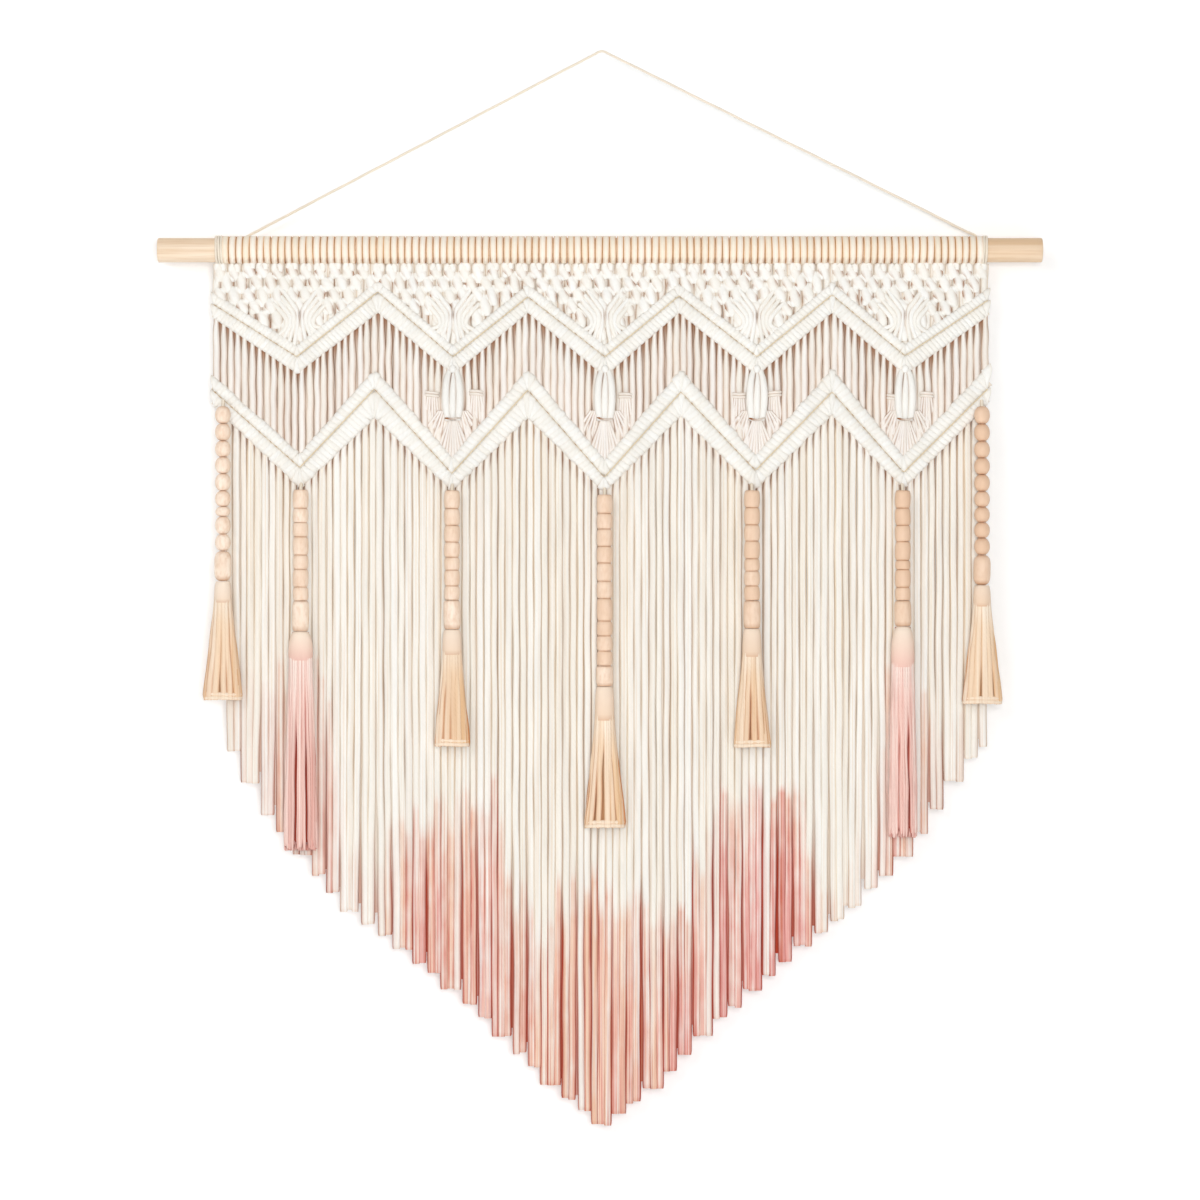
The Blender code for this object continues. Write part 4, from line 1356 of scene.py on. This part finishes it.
        # Painted deep shade at the edges where one lock meets the next, as the locks gather.
        deep = gather * (0.2 + 0.75 * colours["rust"])
        ribbed = {"lobes": 6, "lobe_depth": 0.035, "lobe_pitch": 0.0, "trough_shade": 0.13}
        # Painted shade at the tips, and painted deep shade in dark dots just under the band.
        patch = sweep(
            points(x, y, z), width, self.half_depth * tip,
            section=Section(sides=12, square=0.85, groove=0.8, **ribbed), tone=self.column(0, 1, self.cords),
            groove=self.column(0.35, 1.0, self.cords) * (1 - 0.35 * gather), **colours,
            shade=0.2 * smoothstep(0.992, 1.0, share), pit=hump(below, 8.0, 6.5),
            pit_left=first * deep + side_shade[0], pit_right=final * deep + side_shade[1],
        )
        gap = np.flatnonzero(np.diff(number))
        x_top, x_foot = ((values[gap] + values[gap + 1]) / 2 for values in (root, foot))
        return patch, points(x_top, x_foot, np.maximum(end[gap], end[gap + 1]))

    def back_cords(self, gaps: Array) -> Patch:
        """A cord behind each gap between two locks, painted with deep shade in the dye's hue.

        Args:
            gaps: for each, its x, the x of its foot and the height of the shorter lock's end.

        Returns:
            The cords.
        """
        root, foot, end = gaps.T
        share = np.linspace(0, 1, 40)
        end = end + self.rng.uniform(4.0, 12.0, len(gaps))
        z = hang(LOWER_BAND.edge(BOTTOM_EDGE, root) + 2.0, end, share)
        x = root[:, None] + (foot - root)[:, None] * smoothstep(self.gathers_from, 1.0, share)
        colours = self.colours(root, z)
        hidden = Section(groove=0.5, front_deep_shade=1.0)
        pit = 0.15 + 0.8 * colours["rust"] * self.column(0.4, 1.1, len(gaps))
        return sweep(points(x, 1.6, z), 2.9, 1.2, section=hidden, tone=0.5, **colours, shade=0.3, pit=pit)

    def build(self) -> None:
        """The locks and the cords behind their gaps as one piece."""
        front, gaps = self.front_cords()
        self.dress("dyed_fringe", [front, self.back_cords(gaps)], [Finish.DYED], ["fringe"])


# --------------------------------------------------------------------------------- beads and tassels

@dataclass(frozen=True)
class Tassel:
    """Sizes of a tassel: head radius and height, whole length, and half width at its end."""

    head: float
    head_height: float
    length: float
    spread: float
    pink: bool = False


@dataclass
class BeadString(Part):
    """One string: beads one under another in front of the fringe, a tall bead, and a tassel."""

    name: str
    x: float
    top: float
    forward: float
    heights: tuple[float, ...]
    tassel: Tassel
    bead_tone: float
    round_beads: bool = False
    y: float = -12.6
    bead_radius: float = 8.0
    tall_radius: float = 8.7
    strands_depth: float = 7.2
    head_depth: float = 8.2
    hem_depth: float = 6.9
    fibres: int = 90
    bundles: tuple[float, float, float] = (-0.66, 0.02, 0.68)

    def beads(self) -> tuple[Patch, Patch, float]:
        """The beads on their cord, with radius R * (hole + (1 - hole) * (1 - |2t - 1|^p)^(1/2)).

        The power p is the bead's squareness, and t goes from 0 at its top to 1 at its foot.

        Returns:
            The beads, their cord, and the height of the foot of the last one.
        """
        tall = np.array(self.heights)
        tops = self.top - np.concatenate([[0.0], np.cumsum(tall)[:-1]])
        tops[-1] -= 0.3
        last = np.arange(len(tall)) == len(tall) - 1
        radius = np.where(last, self.tall_radius, self.bead_radius * np.minimum(1.0, 0.9 + tall * 0.006))
        t = 0.5 - 0.5 * np.cos(math.pi * np.linspace(0, 1, 15))
        end = np.abs(2 * t - 1)
        squareness, hole, fall = (2.1, 0.25, 7) if self.round_beads else (3.0, 0.76, 14)
        power = np.where(last, 4.5, squareness)[:, None]
        radius = radius[:, None] * (hole + (1 - hole) * np.sqrt(1 - end**power))
        z = tops[:, None] - tall[:, None] * (0.002 + 0.996 * t)
        x = self.x + self.column(-0.35, 0.35, len(tall)) * (2 * t - 1)
        tone = self.bead_tone + self.rng.uniform(-0.15, 0.15, len(tall)) - 0.3 * last
        # Painted shade at each bead's ends, where it meets the next, and near the tall bead's foot.
        shade = 0.45 * end**fall + 0.35 * last[:, None] * hump(t, 0.93, 0.06)
        turned = Section(sides=24, groove=0.0)
        tone = np.clip(tone, 0, 1)[:, None]
        beads = sweep(points(x, self.y, z), radius, radius, section=turned, tone=tone, shade=shade)
        rise = np.array([
            (self.x, -self.forward, self.top + 6.5), (self.x, self.y + 2.0, self.top + 1.5),
            (self.x, self.y, self.top - 3.0), (self.x, self.y, tops[-1] - 2.0),
        ])
        cord = sweep(rise[None], 1.7, 1.7, finish=1, cap=1, tone=0.5)
        return beads, cord, float(tops[-1] - tall[-1])

    def strands(self, top: float) -> Patch:
        """Flat strips that run over the tassel's head and spread below it.

        A strip at angle a lies at x = reach * cos(a) and y = lesser of reach and depth * sin(a).

        Args:
            top: height of the tassel's top.

        Returns:
            The strips.
        """
        size = self.tassel
        count, thick, girth = (27, 1.7, 2.2) if size.pink else (15, 1.6, 3.7)
        angle = 2 * math.pi * (np.arange(count) + self.rng.uniform(-0.18, 0.18, count) + 0.5) / count
        cosine, sine = np.cos(angle)[:, None], np.sin(angle)[:, None]
        neck = size.head_height / size.length
        share = np.concatenate([neck * np.array([0.4, 0.6, 0.8]), np.linspace(neck, 1, 22)])
        fall = np.clip((share - neck) / (1 - neck), 0, 1)
        reach = size.head + (size.spread - size.head) * (0.25 * smoothstep(0, 1, fall) + 0.75 * fall) - thick
        reach = reach - 0.8 * smoothstep(neck, 0.4 * neck, share)
        wander = self.drift(np.tile(share * size.length, (count, 1)), 110.0, 60.0)
        ends = self.column(0, 5.0 if size.pink else 0.8, count)
        z = top - size.length * share + ends * fall
        x = reach * cosine + 0.8 * wander * smoothstep(0.0, 0.4, fall)
        if size.pink:
            third = np.clip((1.5 * (np.cos(angle) + 1)).astype(int), 0, 2)
            middle = size.spread * np.array(self.bundles)[third][:, None]
            x = x + 0.26 * (middle - x) * smoothstep(0.05, 0.5, fall)
        depth = np.minimum(reach, self.strands_depth - thick * 0.6)
        round_head = 1.35 * size.head * math.sin(math.pi / count) + 0.5
        width = round_head + (girth - round_head) * smoothstep(0, 0.9, fall)
        width = width * (1 + (self.column(0.8, 1.15, count) - 1) * smoothstep(0, 0.5, fall))
        closing = 1 - 0.4 * smoothstep(2.0, 0.0, (1 - share) * size.length)
        facing = points(-sine * reach.max(), cosine * depth.max(), 0.0)
        rope = Section(lobes=3, lobe_depth=0.13, lobe_pitch=9.0, trough_shade=0.35, groove=0.5, groove_shade_power=4.0)
        flat = Section(sides=10, square=0.8, groove=0.6, groove_shade_power=4.0)
        return sweep(
            points(self.x + x, self.y + depth * sine, z), width * closing, thick * closing, facing,
            rope if size.pink else flat, **self.tints(cosine, fall),
        )

    def tints(self, cosine: Array, fall: Array) -> dict[str, Array]:
        """Tone, shade and painted deep shade of the strips: the top pale, the right side warmer, painted
        shade in some gaps.

        Args:
            cosine: cosine of each strip's angle, one a row.
            fall: share of the way down from the head, for each station.

        Returns:
            Point values, a row a strip.
        """
        count, pink = len(cosine), self.tassel.pink
        tone = 0.25 + 0.35 * smoothstep(0.0, 0.25, fall) + self.column(-0.25, 0.25, count)
        if not pink:
            tone = tone * 0.8 + 0.45 * np.clip(cosine, 0, 1) * smoothstep(0, 0.5, fall)
        shade = 0.12 * self.column(0, 1, count) * smoothstep(0.1, 0.6, fall)
        # Painted deep shade in the slits between some strips.
        chosen = self.column(0, 1, count) > (0.7 if pink else 0.5)
        start = self.column(0.05, 0.4, count)
        slit = chosen * smoothstep(0, 0.2, fall - start) * (1.0 if pink else 0.8)
        return {"tone": np.clip(tone, 0, 1), "shade": shade, "pit": slit}

    def filling(self, top: float) -> Patch:
        """The middle of the tassel, painted with shade and deep shade, seen through the gaps between strips.

        Args:
            top: height of the tassel's top.

        Returns:
            One flat oval tube.
        """
        size = self.tassel
        ends = np.array([[self.x, self.y, top - 1.0], [self.x, self.y, top - 0.96 * size.length]])
        return sweep(
            smooth_path(ends, 12)[None], np.linspace(size.head * 0.7, size.spread * 0.74, 13), 4.2,
            section=Section(sides=14, groove=0.2, front_deep_shade=1.0), tone=0.9, shade=0.5,
            pit=0.9 if size.pink else 0.4,
        )

    def cap(self, top: float) -> Patch:
        """The smooth head over the strips' tops, a little tucked in where it ends.

        Args:
            top: height of the tassel's top.

        Returns:
            The head.
        """
        size = self.tassel
        share = np.array([0, 0.04, 0.12, 0.25, 0.4, 0.55, 0.7, 0.82, 0.92, 1.0])
        shoulder = (0.5, 0.66, 0.84, 0.99, 1.05, 0.95) if size.pink else (0.78, 0.86, 0.94, 1.0, 1.05, 0.98)
        width = size.head * np.interp(share, [0, 0.04, 0.14, 0.35, 0.8, 1.0], shoulder)
        line = points(self.x, self.y, top - share * (size.head_height + 1.5))[None]
        if size.pink:
            look = {"tone": 0.3 + 0.3 * share, "shade": 0.0, "dye": 0.6 * share**1.5}
        else:
            tone = 0.2 + 0.45 * self.bead_tone + 0.4 * share
            # Painted shade along the head's lower edge, where it tucks in.
            look = {"tone": tone, "shade": 0.5 * hump(share, 1.0, 0.10), "dye": 0.0}
        smooth = Section(sides=28, groove=0.12)
        depth = np.minimum(width, self.head_depth)
        return sweep(line, width, depth, section=smooth, finish=1, cap=1, rose=0.9, **look)

    def hem(self, top: float) -> Patch:
        """Two flat turns of cord that bind the strips together across the foot.

        Args:
            top: height of the tassel's top.

        Returns:
            The turns.
        """
        turn = around(28)
        rings = []
        for rise in (2.6, 6.2):
            reach = self.tassel.spread - 0.9 - 0.12 * rise
            z = top - self.tassel.length + rise + 0.35 * np.cos(2 * turn + self.x)
            rings.append(points(self.x + reach * np.cos(turn), self.y + self.hem_depth * np.sin(turn), z))
        return sweep(np.array(rings), 2.0, 1.1, (0.0, 0.0, 1.0), Section(groove=0.25), True, tone=0.3)

    def fray(self, top: float) -> Patch:
        """Short loose fibres at the foot.

        Args:
            top: height of the tassel's top.

        Returns:
            The fibres.
        """
        count, foot = self.fibres, top - self.tassel.length
        share = np.linspace(0, 1, 5)
        place = self.column(-1, 1, count)
        start = foot + self.column(3.0, 12.0, count)
        z = np.maximum(start - share * self.column(4.0, 8.0, count), foot + 0.3 + 0.05 * share)
        x = self.x + place * (self.tassel.spread - 3.0) + self.column(-1.6, 1.6, count) * share**2
        lines = points(x, self.y + self.column(-5.6, 5.6, count), z)
        thin = 0.9 - 0.4 * share
        tone = self.column(0.5, 1.0, count)
        return sweep(lines, thin, thin, section=Section(sides=5, groove=0.4), tone=tone, shade=0.35)

    def build(self) -> None:
        """The beads as one piece and the tassel as another."""
        beads, cord, foot = self.beads()
        solids = [f"bead_string_{self.name}", f"tall_bead_{self.name}"]
        self.dress(f"beads_{self.name}", [beads, cord], [Finish.BEAD, Finish.TWINE], solids)
        top = foot - 0.3
        patches = [self.strands(top), self.filling(top), self.cap(top)]
        patches.append(self.fray(top) if self.tassel.pink else self.hem(top))
        finish = Finish.PINK if self.tassel.pink else Finish.STRAW
        self.dress(f"tassel_strands_{self.name}", patches, [finish, Finish.HEAD], [f"tassel_{self.name}"])


# Name, x, top of the first bead, how far in front the cord starts, heights of the beads, tassel, how warm the
# beads are, and whether they are round.
STRINGS = (
    ("1", -385.6, -363.0, 8.2, (17.5, 17.5, 16.5, 17, 17.5, 16, 10, 18, 17, 30.5),
     Tassel(8.6, 20, 121, 20), 0.15, True),
    ("2", -306.5, -447.8, 5.0, (19, 14.5, 14.5, 18.5, 14.5, 18, 14, 30.5),
     Tassel(12, 28, 223, 19, True), 0.3),
    ("3", -152.5, -448.6, 5.0, (18.5, 17, 17, 15.5, 13, 16, 14.5, 29.5), Tassel(9.5, 24, 119, 18), 0.5),
    ("4", 2.7, -452.9, 5.0, (19, 16, 17.5, 17, 18.5, 17.5, 23, 15, 15.5, 15, 20.5),
     Tassel(9.5, 33, 144, 21), 0.7),
    ("5", 152.6, -448.6, 5.0, (17.5, 17.5, 16.5, 18, 12.5, 15, 15, 28), Tassel(9.5, 27, 121, 19), 0.75),
    ("6", 306.0, -448.6, 5.0, (18, 17.5, 16.5, 19, 9.5, 18, 13.5, 25.5),
     Tassel(11.5, 40, 215, 16, True), 0.85),
    ("7", 386.6, -363.0, 8.6, (18, 17.5, 17, 17, 17, 16, 15.5, 16, 17, 30.5),
     Tassel(8.6, 20, 121, 20.5), 1.0, True),
)


def main() -> None:
    """Build the view, the stage and each piece from the nail down."""
    logging.basicConfig(level=logging.INFO, format="%(name)s %(message)s")
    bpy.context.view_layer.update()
    studio = Studio()
    studio.camera()
    materials = {finish: kind.material(finish.value.replace("_", " ")) for finish, kind in FINISHES.items()}
    made_with = materials, np.random.default_rng(SEED)
    HangingCord(*made_with).build()
    studio.build()
    Rod(*made_with).build()
    Heading(*made_with).build()
    KnottedNet(*made_with).build()
    KnotBand(*made_with, "upper_band_knots", UPPER_BAND, half_depth=3.4, seam_radius=0.5, ragged=0.2).build()
    OpenCords(*made_with).build()
    KnotBand(*made_with, "lower_band_knots", LOWER_BAND, half_depth=4.0, seam_radius=0.55, ragged=1.3).build()
    Fringe(*made_with).build()
    for row in STRINGS:
        BeadString(*made_with, *row).build()


if __name__ == "__main__":
    main()
